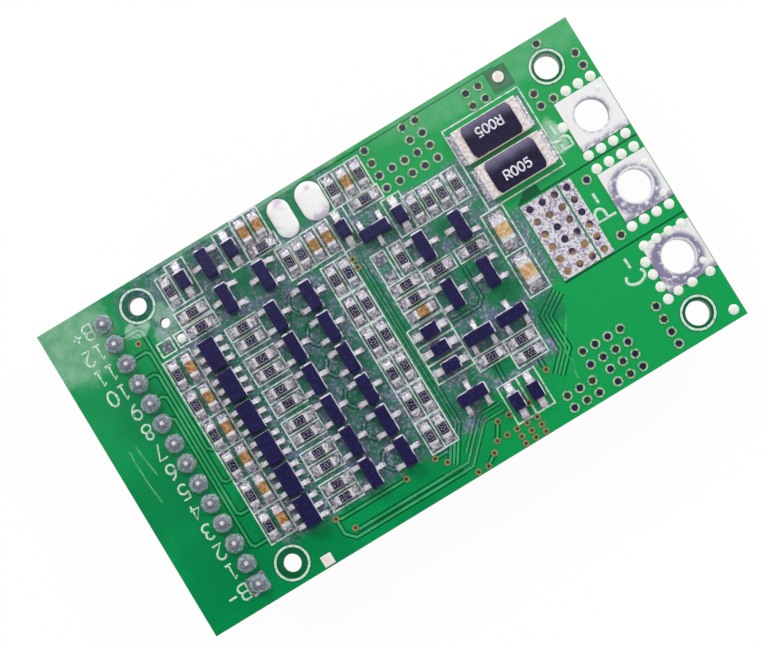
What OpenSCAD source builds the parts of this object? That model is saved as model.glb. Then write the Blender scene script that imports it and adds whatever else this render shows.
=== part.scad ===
// Battery management board: a circuit board with cell monitors on its top face, three wire
// terminals at its right end, and the cell header and power transistors on its underside.
// X runs along the board towards the terminals, Y across it, Z up out of the component side.
// The origin is under the middle of the board, at the lowest face of the header.

/* [Board] */
// Length of the board, along X
board_l = 53.3; // [53.3:0.1:58]
// Width of the board, along Y
board_w = 30; // [30:0.1:34]
// Thickness of the board
board_t = 1.6; // [1:0.1:2]
// Thickness of a tinned land above the board's face
land_t = 0.06; // [0.04:0.01:0.1]
// Height of a masked track above the board's face
track_t = 0.03; // [0.02:0.01:0.04]
// Width of a signal track
track_w = 0.22; // [0.15:0.01:0.28]
// Gap in the copper on either side of a signal track
track_gap = 0.14; // [0.08:0.01:0.16]
// Thickness of the masked copper on the top face
copper_t = 0.04; // [0.03:0.005:0.06]
// Height of the printed legend above the board's face
legend_t = 0.045; // [0.045:0.005:0.08]
// Width of a legend line
legend_w = 0.14; // [0.1:0.01:0.18]

/* [Holes] */
// Radius of a mounting hole at the header end
mount_left_r = 0.8; // [0.7:0.05:0.9]
// Radius of a mounting hole at the terminal end
mount_right_r = 1.1; // [0.9:0.05:1.15]
// Mean distance from the board's long edges to the mounting holes at the header end
mount_left_edge = 2.1; // [1.9:0.05:2.5]
// Mean distance from the board's long edges to the mounting holes at the terminal end
mount_right_edge = 2.55; // [2.4:0.05:3]
// Inner radius of a terminal's hole
terminal_r = 1.5; // [1.2:0.05:1.6]
// Thickness of the solder-coated lining in a terminal's hole
terminal_lining_t = 0.17; // [0.16:0.01:0.25]
// Thickness of the plating in a via or pin hole
plating_t = 0.06; // [0.04:0.01:0.08]
// Inner radius of a power via
power_via_r = 0.29; // [0.2:0.01:0.32]
// Inner radius of a signal via
signal_via_r = 0.14; // [0.1:0.01:0.18]

/* [Terminals] */
// Length of a terminal's pad, along X
terminal_l = 4.75; // [4.4:0.05:4.8]
// Width of a terminal's pad, along Y
terminal_w = 4.8; // [4.4:0.05:5]
// Distance from a terminal's centre to the board's right end
terminal_inset = 2.45; // [2.4:0.05:3]
// Thickness of a terminal's solder-coated pad
terminal_t = 0.1; // [0.1:0.01:0.2]
// Distance between two terminals
terminal_pitch = 7.15; // [7:0.05:7.6]

/* [Header] */
// Number of pins in the header
pin_count = 14; // [10:1:14]
// Distance between two pins
pin_pitch = 2; // [1.9:0.05:2]
// Side of a pin's square section
pin_side = 0.5; // [0.4:0.05:0.6]
// Distance from the header's mouth to the pin row
pin_setback = 5.3; // [5.3:0.1:5.6]
// Length of a pin above the board's top face
pin_proud = 1.15; // [1:0.05:1.5]
// Height of the header's housing
header_h = 4.8; // [4.6:0.1:6]
// Depth of the housing, from its mouth to its back
header_d = 7.6; // [7.6:0.1:8]
// Thickness of the housing's walls
header_wall = 0.7; // [0.6:0.05:0.8]

/* [Small outline packages] */
// Width of a three-legged body, between its two rows of leads
sot_w = 1.25; // [1.2:0.05:1.4]
// Width of a monitor chip's body, between its two rows of leads
monitor_w = 1.6; // [1.5:0.05:1.65]
// Length of a small outline body
sot_l = 2.9; // [2.7:0.05:2.95]
// Height of a small outline body
sot_h = 1; // [0.8:0.05:1.2]
// Gap below a small outline body
sot_gap = 0.08; // [0.02:0.01:0.12]
// Distance over the ends of a three-legged package's leads
sot_span = 2.5; // [2.4:0.05:2.6]
// Distance over the ends of a monitor chip's leads
monitor_span = 2.6; // [2.6:0.02:2.68]
// Distance between two neighbouring leads
sot_pitch = 0.95; // [0.9:0.01:0.97]
// Width of a lead
sot_lead_w = 0.4; // [0.3:0.02:0.44]
// Thickness of a lead
sot_lead_t = 0.13; // [0.1:0.01:0.18]

/* [Chip parts] */
// Length of a chip resistor
chip_l = 1.6; // [1.5:0.02:1.64]
// Width of a chip resistor
chip_w = 0.8; // [0.7:0.02:0.84]
// Height of a chip resistor
chip_h = 0.45; // [0.35:0.02:0.55]
// Length of a chip's end cap
chip_cap = 0.3; // [0.2:0.02:0.34]
// Height of a ceramic capacitor
cap_h = 0.8; // [0.6:0.02:0.9]
// Length of a bulk capacitor
bulk_l = 2; // [1.9:0.05:2.1]
// Width of a bulk capacitor
bulk_w = 1.3; // [1.2:0.05:1.4]
// Length of a diode's body
diode_l = 1.7; // [1.6:0.05:1.75]
// Width of a diode's body
diode_w = 1.25; // [1.1:0.05:1.3]
// Height of a diode's body
diode_h = 0.9; // [0.7:0.05:1.1]

/* [Current shunts] */
// Length of a current shunt
shunt_l = 6.35; // [6.2:0.05:6.4]
// Width of a current shunt
shunt_w = 3.2; // [3:0.05:3.3]
// Height of a current shunt
shunt_h = 0.7; // [0.55:0.05:0.9]
// Length of a shunt's end cap
shunt_cap = 0.75; // [0.5:0.05:0.9]

/* [Power transistors] */
// Width of a power transistor's body
fet_w = 6.6; // [6.2:0.05:6.7]
// Length of a power transistor's body
fet_l = 6.1; // [5.9:0.05:6.2]
// Height of a power transistor's body
fet_h = 2.3; // [2.1:0.05:2.4]
// Distance between two power transistors
fet_pitch = 7; // [6.95:0.05:7.1]

/* [Hidden] */

$fn = 32;

// Amount by which a cutter passes a face
over = 0.1;

// Heights of the board's two faces
z_under = header_h;
z_top = header_h + board_t;

// Datum lines: the cell section hangs on the left end, the other sections on the right end
half_l = board_l / 2;
half_w = board_w / 2;
cell_x = -half_l;
gauge_x = half_l;

// Mounting holes
mount_left_x = cell_x + 8.8;
mount_left_y = -0.1;
mount_right_x = gauge_x - 3.6;
mount_right_y = -0.3;
mount_places = concat(
    [for (s = [-1, 1]) [mount_left_x, mount_left_y + s * (half_w - mount_left_edge), mount_left_r]],
    [for (s = [-1, 1]) [mount_right_x, mount_right_y + s * (half_w - mount_right_edge), mount_right_r]]);

// Wire terminals, from the battery's negative at the top to the charger's at the bottom
terminal_x = gauge_x - terminal_inset;
terminal_y = -0.55;

// Pins of the header
pin_x = cell_x + 0.15 + pin_setback;
pin_y0 = (pin_count - 1) * pin_pitch / 2;
pin_hole_r = 0.46;
pin_land_r = 0.86;
pin_places = [for (i = [0:pin_count - 1]) [pin_x, pin_y0 - i * pin_pitch]];

// Rows of the cell section
channels = 6;
channel_pitch = 3.13;
channel_y = 5.8;
filter_pitch = 3.02;
function row_y(i) = channel_y - i * channel_pitch;
function filter_y(i) = channel_y + 0.05 - i * filter_pitch;

// Columns of the cell section, from the left end
filter_r_x = cell_x + 8.75;
filter_c_x = cell_x + 10.05;
monitor_x = cell_x + 12.25;
sense_x = cell_x + 15.65;
switch_x = [cell_x + 18.6, cell_x + 22.05];
bleed_x = [cell_x + 24.55, cell_x + 25.85];
sense_step = 0.66;

// Places are [x, y, quarter turns]. The lists give x from the section's end of the board, and y
// from the board's middle or, for what stands along a long edge, from that edge
function cell(places) = [for (p = places) [cell_x + p.x, p.y, p.z]];
function cell_top(places) = [for (p = places) [cell_x + p.x, half_w - p.y, p.z]];
function gauge(places) = [for (p = places) [gauge_x - p.x, p.y, p.z]];
function gauge_top(places) = [for (p = places) [gauge_x - p.x, half_w - p.y, p.z]];
function gauge_bottom(places) = [for (p = places) [gauge_x - p.x, p.y - half_w, p.z]];

resistor_places = concat(
    [for (i = [0:channels - 1]) [filter_r_x, filter_y(i), 1]],
    [for (i = [0:channels - 1], s = [-1, 1]) [sense_x, row_y(i) + s * sense_step, 0]],
    [for (i = [0:channels - 1], x = bleed_x) [x, row_y(i), 1]],
    cell_top([[11.85, 2.6, 1], [20.65, 3.4, 0]]),
    cell([[12.6, 9.85, 0], [12.65, 8.4, 0], [22.0, 9.25, 1], [23.2, 9.25, 1]]),
    gauge_top([[24.95, 2.4, 1], [22.25, 2.4, 1]]),
    gauge([[22.95, 10.5, 0], [19.65, 7.5, 1], [18.35, 7.5, 1], [17.05, 7.5, 1], [15.6, 7.5, 1],
        [22.9, 4.45, 1], [23.75, 2.3, 0], [23.75, 0.95, 0], [20.65, 2.05, 0], [17.25, 2.05, 0],
        [20.7, -6.75, 0], [17.75, -6.8, 0], [17.75, -8.2, 0]]));
capacitor_places = concat(
    [for (i = [0:channels - 1]) [filter_c_x, filter_y(i), 1]],
    cell_top([[19.9, 1.6, 1], [21.25, 1.6, 1]]),
    cell([[24.55, 9.3, 1], [25.9, 9.3, 1]]),
    gauge_top([[23.6, 2.4, 1]]),
    gauge([[23.7, -0.4, 0]]));
bulk_places = gauge([[14.2, 1.95, 1], [14.2, -2.15, 1]]);
spare_places = gauge([[24.55, 4.45, 1]]);

// A transistor's single lead points along +X before it is turned
transistor_places = concat(
    [for (i = [0:channels - 1], x = switch_x) [x, row_y(i), 0]],
    cell_top([[15.85, 2.2, 2]]),
    cell([[15.8, 9.3, 2], [19.55, 9.35, 2]]),
    gauge([[23.6, 7.7, 3], [20.75, 4.35, 0], [17.15, 4.3, 2], [20.75, -0.4, 0], [17.15, -0.4, 2],
        [20.65, -4.6, 1], [17.35, -4.6, 1], [23.8, -8.75, 1]]));
diode_places = concat(
    cell_top([[13.35, 2.3, 1], [18.25, 2.15, 1]]),
    cell([[27.4, 9.25, 1]]),
    gauge([[21.05, 7.8, 1], [24.05, -2.1, 0], [24.05, -3.85, 0], [24.05, -5.6, 0]]),
    gauge_bottom([[20.85, 3.85, 1], [19.0, 3.85, 1]]));
monitor_places = [for (i = [0:channels - 1]) [monitor_x, row_y(i), 0]];

// Two framed lands of a solder bridge, as [x, length of the frame]; the right one is filled
bridge_x = [[cell_x + 9.1, 1.33], [cell_x + 10.65, 1.04]];
bridge_y = 8.4;
bridge_frame_w = 1.25;
bridge_land = [0.72, 0.84];
bridge_solder_r = 0.4;

// Lands of the packages: [distance of the land's centre, length, width]
chip_land = [chip_l / 2 + 0.12, 1.0, chip_w + 0.2];
bulk_land = [bulk_l / 2 + 0.25, 1.15, bulk_w + 0.25];
sot_land = [sot_span / 2 - 0.06, 0.56, sot_lead_w + 0.2];
monitor_land = [monitor_span / 2 - 0.06, 0.56, sot_lead_w + 0.2];
diode_land = [diode_l / 2 + 0.45, 0.85, 0.85];
diode_reach = diode_land[0] + diode_land[1] / 2 - 0.2;
shunt_land = [shunt_l / 2 - 0.3, 1.5, shunt_w - 0.1];

// Current shunts
shunt_x = gauge_x - 10.5;
shunt_y = 8.05;
shunt_step = shunt_w / 2 + 0.22;
shunt_places = [for (s = [1, -1]) [shunt_x - s * 0.1, shunt_y + s * shunt_step, 0]];

// Power vias: x from the right end, y from the top edge, the middle or the bottom edge
power_via_places = [for (p = concat(
    gauge_top(concat(
        [for (y = [0.9, 2.15, 3.4, 4.65]) [20.85, y, 0]],
        [for (i = [0:3], y = [3.4, 4.7]) [19.55 - i * 1.27, y, 0]],
        [for (x = [17.0, 15.75], y = [0.9, 2.15]) [x, y, 0]],
        [for (x = [10.8, 9.55], y = [1.2, 2.45]) [x, y, 0]],
        [[3.35, 0.7, 0]])),
    gauge([[0.9, 11.9, 0], [0.85, 10.65, 0], [5.8, 10.7, 0], [5.8, 9.5, 0], [4.55, 9.5, 0],
        [5.8, 2.0, 0], [5.75, -3.6, 0]]),
    gauge_bottom(concat(
        [for (x = [16.9, 15.65, 14.4], y = [2.0, 0.8]) [x, y, 0]],
        [for (y = [4.55, 3.25]) [13.8, y, 0]],
        [for (x = [12.55, 11.3, 10.05], y = [4.55, 3.25, 2.05, 0.8]) [x, y, 0]],
        [for (y = [4.6, 3.3, 2.05, 0.85]) [6.4, y, 0]])))) [p.x, p.y]];

// Signal vias: those of the two sections, and those along the bottom edge
signal_via_places = concat(
    [for (p = [[7.2, 9.95], [26.75, 6.6], [26.75, 5.8]]) [cell_x + p.x, p.y]],
    [[gauge_x - 17.3, -10.15]],
    [for (p = [[13.95, 3.25], [20.9, 3.05], [23.9, 3.25], [24.65, 2.45], [15.0, 1.75]])
        [cell_x + p.x, p.y - half_w]],
    [for (p = [[23.15, 3.2], [22.05, 3.2], [20.05, 3.2], [24.8, 1.05], [26.8, 0.35], [25.8, 0.35]])
        [gauge_x - p.x, p.y - half_w]],
    [for (i = [0:4]) [gauge_x - 24.05 + i, 1.8 - half_w]],
    [for (i = [0:2], y = [1.05, 0.35]) [gauge_x - 22.05 + i, y - half_w]]);

// Block of heat vias that ties the drains to both faces
block_l = 5;
block_w = 7.4;
block_x = gauge_x - 9.45;
block_y = -0.78;
block_t = 0.1;
block_via_r = 0.33;
block_pitch = 1.24;
block_gap_x = block_x + 1.2;
block_gap_w = 0.16;
block_via_places = [for (i = [-1.5:1.5], j = [-2.5:2.5])
    [block_x + i * block_pitch, block_y + j * block_pitch]];

// Tinned pads near the top edge, and the two fiducials
sensor_l = 3.6;
sensor_h = 0.35;
sensor_y = half_w - 2.25;
sensor_pads_at = [[cell_x + 23.45, 2], [cell_x + 26.35, 2.4]];
fiducial_place = [gauge_x - 7.65, half_w - 1.4];
fiducial_r = 0.5;
fiducial_window = [2, 2.1];
tooling_r = 0.45;
tooling_place = [cell_x + 10.1, half_w - 4.65];
test_pad_side = 1;
test_pad_place = [cell_x + 11.55, -half_w + 0.65];

// Solder dots round the three terminals, in rows of [first column, y]
dot_r = 0.46;
dot_step = 1.24;
dot_x = terminal_x - 2.1;
dot_edge = terminal_w / 2 + 0.5;
charge_y = terminal_y - terminal_pitch;
dot_rows = [[1, terminal_y + terminal_pitch + dot_edge], [0, terminal_y + terminal_pitch - dot_edge],
    [0, terminal_y + dot_edge], [0, terminal_y - dot_edge], [0, charge_y + dot_edge - 0.65]];
dot_places = concat(
    [for (row = dot_rows, i = [row[0]:3]) [dot_x + i * dot_step, row[1]]],
    [for (i = [0:3]) [dot_x - 0.62, charge_y + 1 - i * dot_step]],
    [for (x = [0.5, 1.9, 3.7]) [dot_x + x, charge_y - dot_edge + 0.4]],
    [[dot_x - 0.62, terminal_y + terminal_pitch + 0.3], [gauge_x - 0.85, 0.9 - half_w]]);

// Small bumps over the vias in the terminals' pads, as [x and y from the middle terminal]
bump_r = 0.3;
bump_h = 0.07;
bump_places = [for (p = [[1.6, terminal_pitch + 1.65], [1.7, -1.85], [1.75, 1.3], [1.55, -1.4 - terminal_pitch]])
    [terminal_x + p.x, terminal_y + p.y]];

// Power transistors: the drains of both rows meet on the pour under the via block
fet_x = gauge_x - 8.3;
fet_lead_w = 0.76;
fet_lead_t = 0.5;
fet_lead_pitch = 2.28;
fet_lead_reach = 2.75;
fet_tab_w = 5.2;
fet_tab_l = 1;
fet_tab_t = 0.5;
fet_row_gap = 5.8;
fet_land_t = 0.1;
fet_places = [for (i = [0:2], s = [1, -1])
    [fet_x - i * fet_pitch, block_y + s * (fet_row_gap / 2 + fet_tab_l + fet_l / 2), s]];
fet_tab_under = 4.4;
fet_tab_cut = 0.7;
fet_stub_l = 0.9;
fet_draft = 0.25;
fet_foot = 1.4;
fet_lead_land_w = 1.5;
pour_l = 2 * fet_pitch + fet_w;
pour_w = fet_row_gap + 2 * (fet_tab_l + fet_tab_under);

// Lands of the vias
power_via_land_r = 0.45;
signal_via_land_r = 0.3;

// Gaps that part the copper of the three terminals, and the window beside the upper one
isolation_x = gauge_x - 12;
isolation_y = [block_y + block_w / 2 + 0.22, block_y - block_w / 2 - 0.17];
isolation_w = 0.16;
isolation_window = [for (p = [[0, 0], [2.3, 0], [2.3, 0.82], [1, 0.82]]) [isolation_x, isolation_y[0]] + p];

// Gap along the top edge
rim_inset = 0.45;
rim_w = 0.1;
rim_path = [[mount_left_x + 2, half_w - rim_inset], [fiducial_place.x, half_w - rim_inset]];

// Frames of the legend: centre lines of their sides
chip_frame = [filter_pitch, 1.3];
bulk_frame = [4.1, 2.1];
diode_frame = [3.6, 1.8];
shunt_frame = [7.6, 7.9];
mount_ring_r = 1.57;
mount_ring_w = 1.5 * legend_w;
mount_line_w = 0.07;
mount_clear_r = mount_ring_r - mount_ring_w - 0.02;

// Solder joints of the header's pins
solder_r = 0.8;
solder_crown_r = 0.34;
solder_h = 0.8;
solder_under_h = 0.35;

// Housing of the header
header_x = cell_x + 0.15;
header_l = (pin_count - 1) * pin_pitch + 3.9;
header_chamfer = 0.4;
header_back_gap = 0.3;
header_back_wall = 1;
header_wing = 1;
header_tail = 1.6;
header_key_w = 1.8;
header_key_l = 3;
header_key_y = header_l / 2 - 3.4;
pin_z = z_under - 2.2;
pin_recess = 1.2;

// Leads of the two small outline packages, as [side, y]
three_leads = [[1, 0], [-1, -sot_pitch], [-1, sot_pitch]];
six_leads = [for (s = [-1, 1], i = [-1:1]) [s, i * sot_pitch]];

// Small details of the packages
sot_draft = 0.08;
sot_foot = 0.3;
diode_lead_w = 0.6;
chip_chamfer = 0.04;
cap_chamfer = 0.08;
bulk_cap = 0.42;
coat_t = 0.04;
dot_h = 0.14;
sensor_edge = 0.08;
plug_dip = 0.05;
toe_l = 0.2;

// Tracks on the top face: from the header to the filters, through the cell rows, the long bus
// beside them, and the lines of the gauge section
header_tracks = [for (k = [0:4]) let (p = pin_places[k + 1], x = pin_x + 1.12 + 0.36 * (4 - k),
    y = filter_y(k + 1) - chip_land[0])
    [p, [x - 0.3, p.y], [x, p.y - 0.3], [x, y + 0.3], [x + 0.3, y], [filter_r_x, y]]];
row_tracks = [for (i = [0:channels - 1], s = [-1, 1]) let (y = row_y(i), lead = s * sot_pitch, step = s * sense_step)
    each [
        [[monitor_x + monitor_land[0], y + lead], [monitor_x + monitor_land[0] + 0.4, y + lead],
            [sense_x - chip_land[0] - 0.2, y + step], [sense_x - chip_land[0], y + step]],
        [[switch_x[0] + sot_land[0], y], [switch_x[1] - sot_land[0] - 0.5, y + lead * 0.9],
            [switch_x[1] - sot_land[0], y + lead]]]];
bus_path = [[cell_x + 26.97, 6.2], [cell_x + 26.97, 5 - half_w], [cell_x + 25, 2 - half_w]];
bottom_paths = [for (path = [
    [[13.95, 3.25], [14.4, 3.05], [20.9, 3.05]],
    [[15, 1.75], [15.25, 1.5], [24, 1.5]],
    [[13.95, 3.25], [13.95, 1.8], [14.7, 1], [25.6, 1]],
    [[23.9, 3.25], [25.2, 3.25]]]) [for (p = path) [cell_x + p.x, p.y - half_w]]];
gauge_bundle = [for (p = [[12.9, -4.9], [14.9, -6.2], [14.9, -9.4], [16.6, -11.1]]) [gauge_x - p.x, p.y]];
gauge_paths = [for (path = [
    [[22.1, -2.45], [19.3, -2.45], [18.75, -1.9], [18.75, 1.1]],
    [[17.3, -8.2], [17.3, -10.15]],
    [[20.7, -7], [20.85, -9.8]],
    [[23.15, 3.2 - half_w], [24.05, 1.8 - half_w]],
    [[24.8, 1.05 - half_w], [25.8, 0.35 - half_w]]]) [for (p = path) [gauge_x - p.x, p.y]]];
top_track_paths = concat(header_tracks, row_tracks, [for (s = [-1:1]) shifted(bus_path, s * 0.32)],
    bottom_paths, [for (s = [-1:1]) shifted(gauge_bundle, s * 0.34)], gauge_paths);

// Tracks on the underside, from the other pins to the cell rows
under_track_paths = [for (k = [6:pin_count - 2]) let (p = pin_places[k]) [p, [monitor_x - 1.5, p.y]]];

// Shapes that the packages share

// Normal of the line from p to q, turned to its left
function normal(p, q) = let (d = q - p) [-d.y, d.x] / norm(d);

// Offset of the point of a path at index i, so that both its lines shift by one unit
function mitre(path, i) =
    i == 0 ? normal(path[0], path[1]) :
    i == len(path) - 1 ? normal(path[i - 1], path[i]) :
    let (a = normal(path[i - 1], path[i]), b = normal(path[i], path[i + 1])) (a + b) / (1 + a * b);

// A path moved sideways by a distance
function shifted(path, distance) = [for (i = [0:len(path) - 1]) path[i] + distance * mitre(path, i)];

// Outline of a band of even width along a path
function band(path, width) = concat(
    shifted(path, width / 2),
    let (other = shifted(path, -width / 2)) [for (i = [len(path) - 1:-1:0]) other[i]]);

// Points of an arc about a centre
function arc(centre, r, from, to, steps) =
    [for (i = [0:steps]) centre + r * [cos(from + (to - from) * i / steps), sin(from + (to - from) * i / steps)]];

// Puts its children at each place of a list
module at_each(places, z = 0) {
    for (p = places) translate([p.x, p.y, z]) rotate(90 * p[2]) children();
}

// Puts its children at each power transistor, upside down on the pour
module at_fets() {
    for (p = fet_places) translate([p.x, p.y, z_under - fet_land_t]) rotate([180, 0, p[2] > 0 ? 0 : 180])
        children();
}

// Outline of a drafted side: widest at the parting line half way up
function drafted(w, h, z, draft) = [[-w / 2 + draft, z], [w / 2 - draft, z], [w / 2, z + h / 2],
    [w / 2 - draft, z + h], [-w / 2 + draft, z + h], [-w / 2, z + h / 2]];

// Moulded body with a parting line at mid height and drafted sides
module moulded_body(w, l, h, z, draft) {
    intersection() {
        rotate([90, 0, 0]) linear_extrude(l, center = true) polygon(drafted(w, h, z, draft));
        rotate([90, 0, 90]) linear_extrude(w, center = true) polygon(drafted(l, h, z, draft));
    }
}

// Strip lead that leaves a body at height z, bends down and ends in a foot on its land
module strip_lead(root, reach, z, foot, w, t) {
    heel = reach - foot;
    bend = min(foot / 2, z / 3);
    path = concat([[root, z]], arc([heel - bend, z - bend], bend, 90, 20, 2),
        arc([heel + bend, bend + t / 2], bend, 200, 270, 2), [[reach, t / 2]]);
    rotate([90, 0, 0]) linear_extrude(w, center = true) polygon(band(path, t));
}

// Concave solder fillet against an end face at x = 0
module fillet(l, h, w) {
    rotate([90, 0, 0]) linear_extrude(w, center = true)
        polygon(concat([[0, 0]], [for (a = [0:30:90]) [l * (1 - sin(a)), h * (1 - cos(a))]]));
}

// Bar along X with its four long edges chamfered, standing on z = 0
module chamfered_bar(l, w, h, chamfer) {
    rotate([90, 0, 90]) linear_extrude(l, center = true)
        polygon([[-w / 2 + chamfer, 0], [w / 2 - chamfer, 0], [w / 2, chamfer], [w / 2, h - chamfer],
            [w / 2 - chamfer, h], [-w / 2 + chamfer, h], [-w / 2, h - chamfer], [-w / 2, chamfer]]);
}

// Solder mound with round ends: a domed bar between two domes
module pill(w, l, h, edge) {
    side = concat([[w / 2, 0]], [for (a = [0:15:75]) [w / 2 * cos(a), edge + (h - edge) * sin(a)]]);
    for (s = [-1, 1]) translate([0, s * (l - w) / 2, 0]) rotate_extrude() polygon(concat([[0, 0]], side, [[0, h]]));
    rotate([90, 0, 0]) linear_extrude(l - w, center = true)
        polygon(concat(side, [[0, h]], [for (i = [len(side) - 1:-1:0]) [-side[i].x, side[i].y]]));
}

// Low dome of solder
module dome(r, h) {
    rotate_extrude() polygon(concat([[0, 0]], [for (a = [0:30:90]) [r * cos(a), h * sin(a)]]));
}

// Plated through hole with a land on the top face, flush with the underside
module via(r, land_r) {
    rotate_extrude() polygon([[r, z_under], [r + plating_t, z_under], [r + plating_t, z_top],
        [land_r, z_top], [land_r, z_top + land_t], [r, z_top + land_t]]);
}

// Core, top coat and end caps of a chip part that stands on z = 0
module chip_core(l, w, h, cap, chamfer) {
    chamfered_bar(l - 2 * cap, w, h, chamfer);
}

module chip_caps(l, w, h, cap, chamfer) {
    for (s = [-1, 1]) translate([s * (l - cap) / 2, 0, 0]) chamfered_bar(cap, w, h, chamfer);
}

// Footprints of the packages, for the lands themselves and for what has to clear them
module land_pair(land) {
    for (s = [-1, 1]) translate([s * land[0], 0]) square([land[1], land[2]], center = true);
}

module sot_lands(leads, land) {
    for (p = leads) translate([p[0] * land[0], p[1]]) square([land[1], land[2]], center = true);
}

module component_footprint() {
    at_each(concat(resistor_places, capacitor_places, spare_places)) land_pair(chip_land);
    at_each(bulk_places) land_pair(bulk_land);
    at_each(diode_places) land_pair(diode_land);
    at_each(shunt_places) land_pair(shunt_land);
    at_each(transistor_places) sot_lands(three_leads, sot_land);
    at_each(monitor_places) sot_lands(six_leads, monitor_land);
    for (x = bridge_x) translate([x[0], bridge_y]) square(bridge_land, center = true);
}

module via_footprint() {
    for (p = power_via_places) translate(p) circle(r = power_via_land_r);
    for (p = signal_via_places) translate(p) circle(r = signal_via_land_r);
}

module pin_footprint() {
    for (i = [0:pin_count - 1]) translate(pin_places[i])
        if (i == pin_count - 1) square(2 * pin_land_r, center = true);
        else circle(r = pin_land_r);
}

module terminal_footprint() {
    for (i = [-1:1]) translate([terminal_x, terminal_y + i * terminal_pitch])
        square([terminal_l, terminal_w], center = true);
    for (p = dot_places) translate(p) circle(r = dot_r);
    translate([block_x, block_y]) square([block_l, block_w], center = true);
    for (p = sensor_pads_at) translate([p.x, sensor_y]) sensor_outline(p[1]);
}

module sensor_outline(w) {
    square([w, sensor_l - w], center = true);
    for (s = [-1, 1]) translate([0, s * (sensor_l - w) / 2]) circle(r = w / 2);
}

module frame_footprint() {
    difference() {
        at_each(concat(resistor_places, capacitor_places, spare_places)) frame_outline(chip_frame[0], chip_frame[1]);
        for (i = [0:channels - 1]) translate([(filter_r_x + filter_c_x) / 2, filter_y(i)])
            square([2 * legend_w, chip_frame[0] - legend_w], center = true);
    }
    at_each(bulk_places) frame_outline(bulk_frame[0], bulk_frame[1]);
    at_each(diode_places) frame_outline(diode_frame[0], diode_frame[1]);
    translate([shunt_x, shunt_y]) frame_outline(shunt_frame[0], shunt_frame[1]);
    for (x = bridge_x) translate([x[0], bridge_y]) frame_outline(x[1], bridge_frame_w);
}

// Board and its copper

module drill(r) {
    translate([0, 0, z_under - over]) cylinder(r = r, h = board_t + 2 * over);
}

module drills() {
    for (p = mount_places) translate([p.x, p.y, 0]) drill(p.z);
    for (i = [-1:1]) translate([terminal_x, terminal_y + i * terminal_pitch]) drill(terminal_r + terminal_lining_t);
    for (p = pin_places) translate(p) drill(pin_hole_r + plating_t);
    for (p = power_via_places) translate(p) drill(power_via_r + plating_t);
    for (p = signal_via_places) translate(p) drill(signal_via_r + plating_t);
    for (p = block_via_places) translate(p) drill(block_via_r + plating_t);
    translate(tooling_place) drill(tooling_r);
}

module board() {
    color("#0b6b3a") difference() {
        translate([-half_l, -half_w, z_under]) cube([board_l, board_w, board_t - copper_t]);
        drills();
    }
}

// Gaps in the copper: round the mounting holes and the fiducial, between the terminals, along the
// top edge and beside the tracks
module copper_gaps() {
    difference() {
        union() {
            for (p = mount_places) translate([p.x, p.y]) circle(r = mount_ring_r + mount_line_w);
            for (y = isolation_y) translate([isolation_x, y - isolation_w / 2])
                square([half_l - isolation_x + over, isolation_w]);
            polygon(isolation_window);
            polygon(band(rim_path, rim_w));
            translate([fiducial_place.x, fiducial_place.y - 0.2]) square(fiducial_window, center = true);
            for (t = top_track_paths) polygon(band(t, track_w + 2 * track_gap));
        }
        for (p = mount_places) translate([p.x, p.y]) difference() {
            circle(r = mount_ring_r);
            circle(r = mount_clear_r);
        }
        translate(fiducial_place) circle(r = fiducial_r);
        track_outlines();
        frame_footprint();
        component_footprint();
        via_footprint();
        pin_footprint();
        terminal_footprint();
    }
}

module copper_pours() {
    color("#17a052") difference() {
        translate([0, 0, z_top - copper_t]) linear_extrude(copper_t) difference() {
            square([board_l, board_w], center = true);
            copper_gaps();
        }
        drills();
    }
}

module track_outlines() {
    for (t = top_track_paths) polygon(band(t, track_w));
}

module top_tracks() {
    color("#3aa667") translate([0, 0, z_top]) linear_extrude(track_t) difference() {
        track_outlines();
        component_footprint();
        via_footprint();
        pin_footprint();
        terminal_footprint();
    }
}

module underside_tracks() {
    color("#3aa667") translate([0, 0, z_under - track_t]) linear_extrude(track_t) difference() {
        for (t = under_track_paths) polygon(band(t, 2 * track_w));
        pin_footprint();
    }
}

module component_lands() {
    color("#c9cdd2") translate([0, 0, z_top]) linear_extrude(land_t) component_footprint();
}

module solder_fillets() {
    color("#d5d8dc") {
        at_each(resistor_places, z_top + land_t) for (s = [0, 180]) rotate(s)
            translate([chip_l / 2, 0, 0]) fillet(0.42, chip_h * 0.7, chip_w * 0.9);
        at_each(capacitor_places, z_top + land_t) for (s = [0, 180]) rotate(s)
            translate([chip_l / 2, 0, 0]) fillet(0.45, cap_h * 0.6, chip_w * 0.9);
        at_each(bulk_places, z_top + land_t) for (s = [0, 180]) rotate(s)
            translate([bulk_l / 2, 0, 0]) fillet(0.6, cap_h * 0.7, bulk_w * 0.9);
        at_each(shunt_places, z_top + land_t) for (s = [0, 180]) rotate(s)
            translate([shunt_l / 2, 0, 0]) fillet(0.35, shunt_h * 0.7, shunt_w * 0.9);
        at_each(diode_places, z_top + land_t) for (s = [0, 180]) rotate(s)
            translate([diode_reach, 0, 0]) fillet(toe_l, sot_lead_t * 0.9, diode_lead_w);
        at_each(transistor_places, z_top + land_t) toe_fillets(three_leads, sot_span);
        at_each(monitor_places, z_top + land_t) toe_fillets(six_leads, monitor_span);
    }
}

module toe_fillets(leads, span) {
    for (p = leads) translate([0, p[1], 0]) rotate(p[0] > 0 ? 0 : 180)
        translate([span / 2, 0, 0]) fillet(toe_l, sot_lead_t * 0.9, sot_lead_w);
}

module frame_outline(l, w) {
    difference() {
        square([l + legend_w, w + legend_w], center = true);
        square([l - legend_w, w - legend_w], center = true);
    }
}

module legend_frames() {
    color("#e4f2ea") translate([0, 0, z_top]) difference() {
        linear_extrude(legend_t) difference() {
            frame_footprint();
            component_footprint();
            via_footprint();
            terminal_footprint();
        }
        translate([0, 0, -over]) linear_extrude(track_t + over) track_outlines();
    }
}

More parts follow.
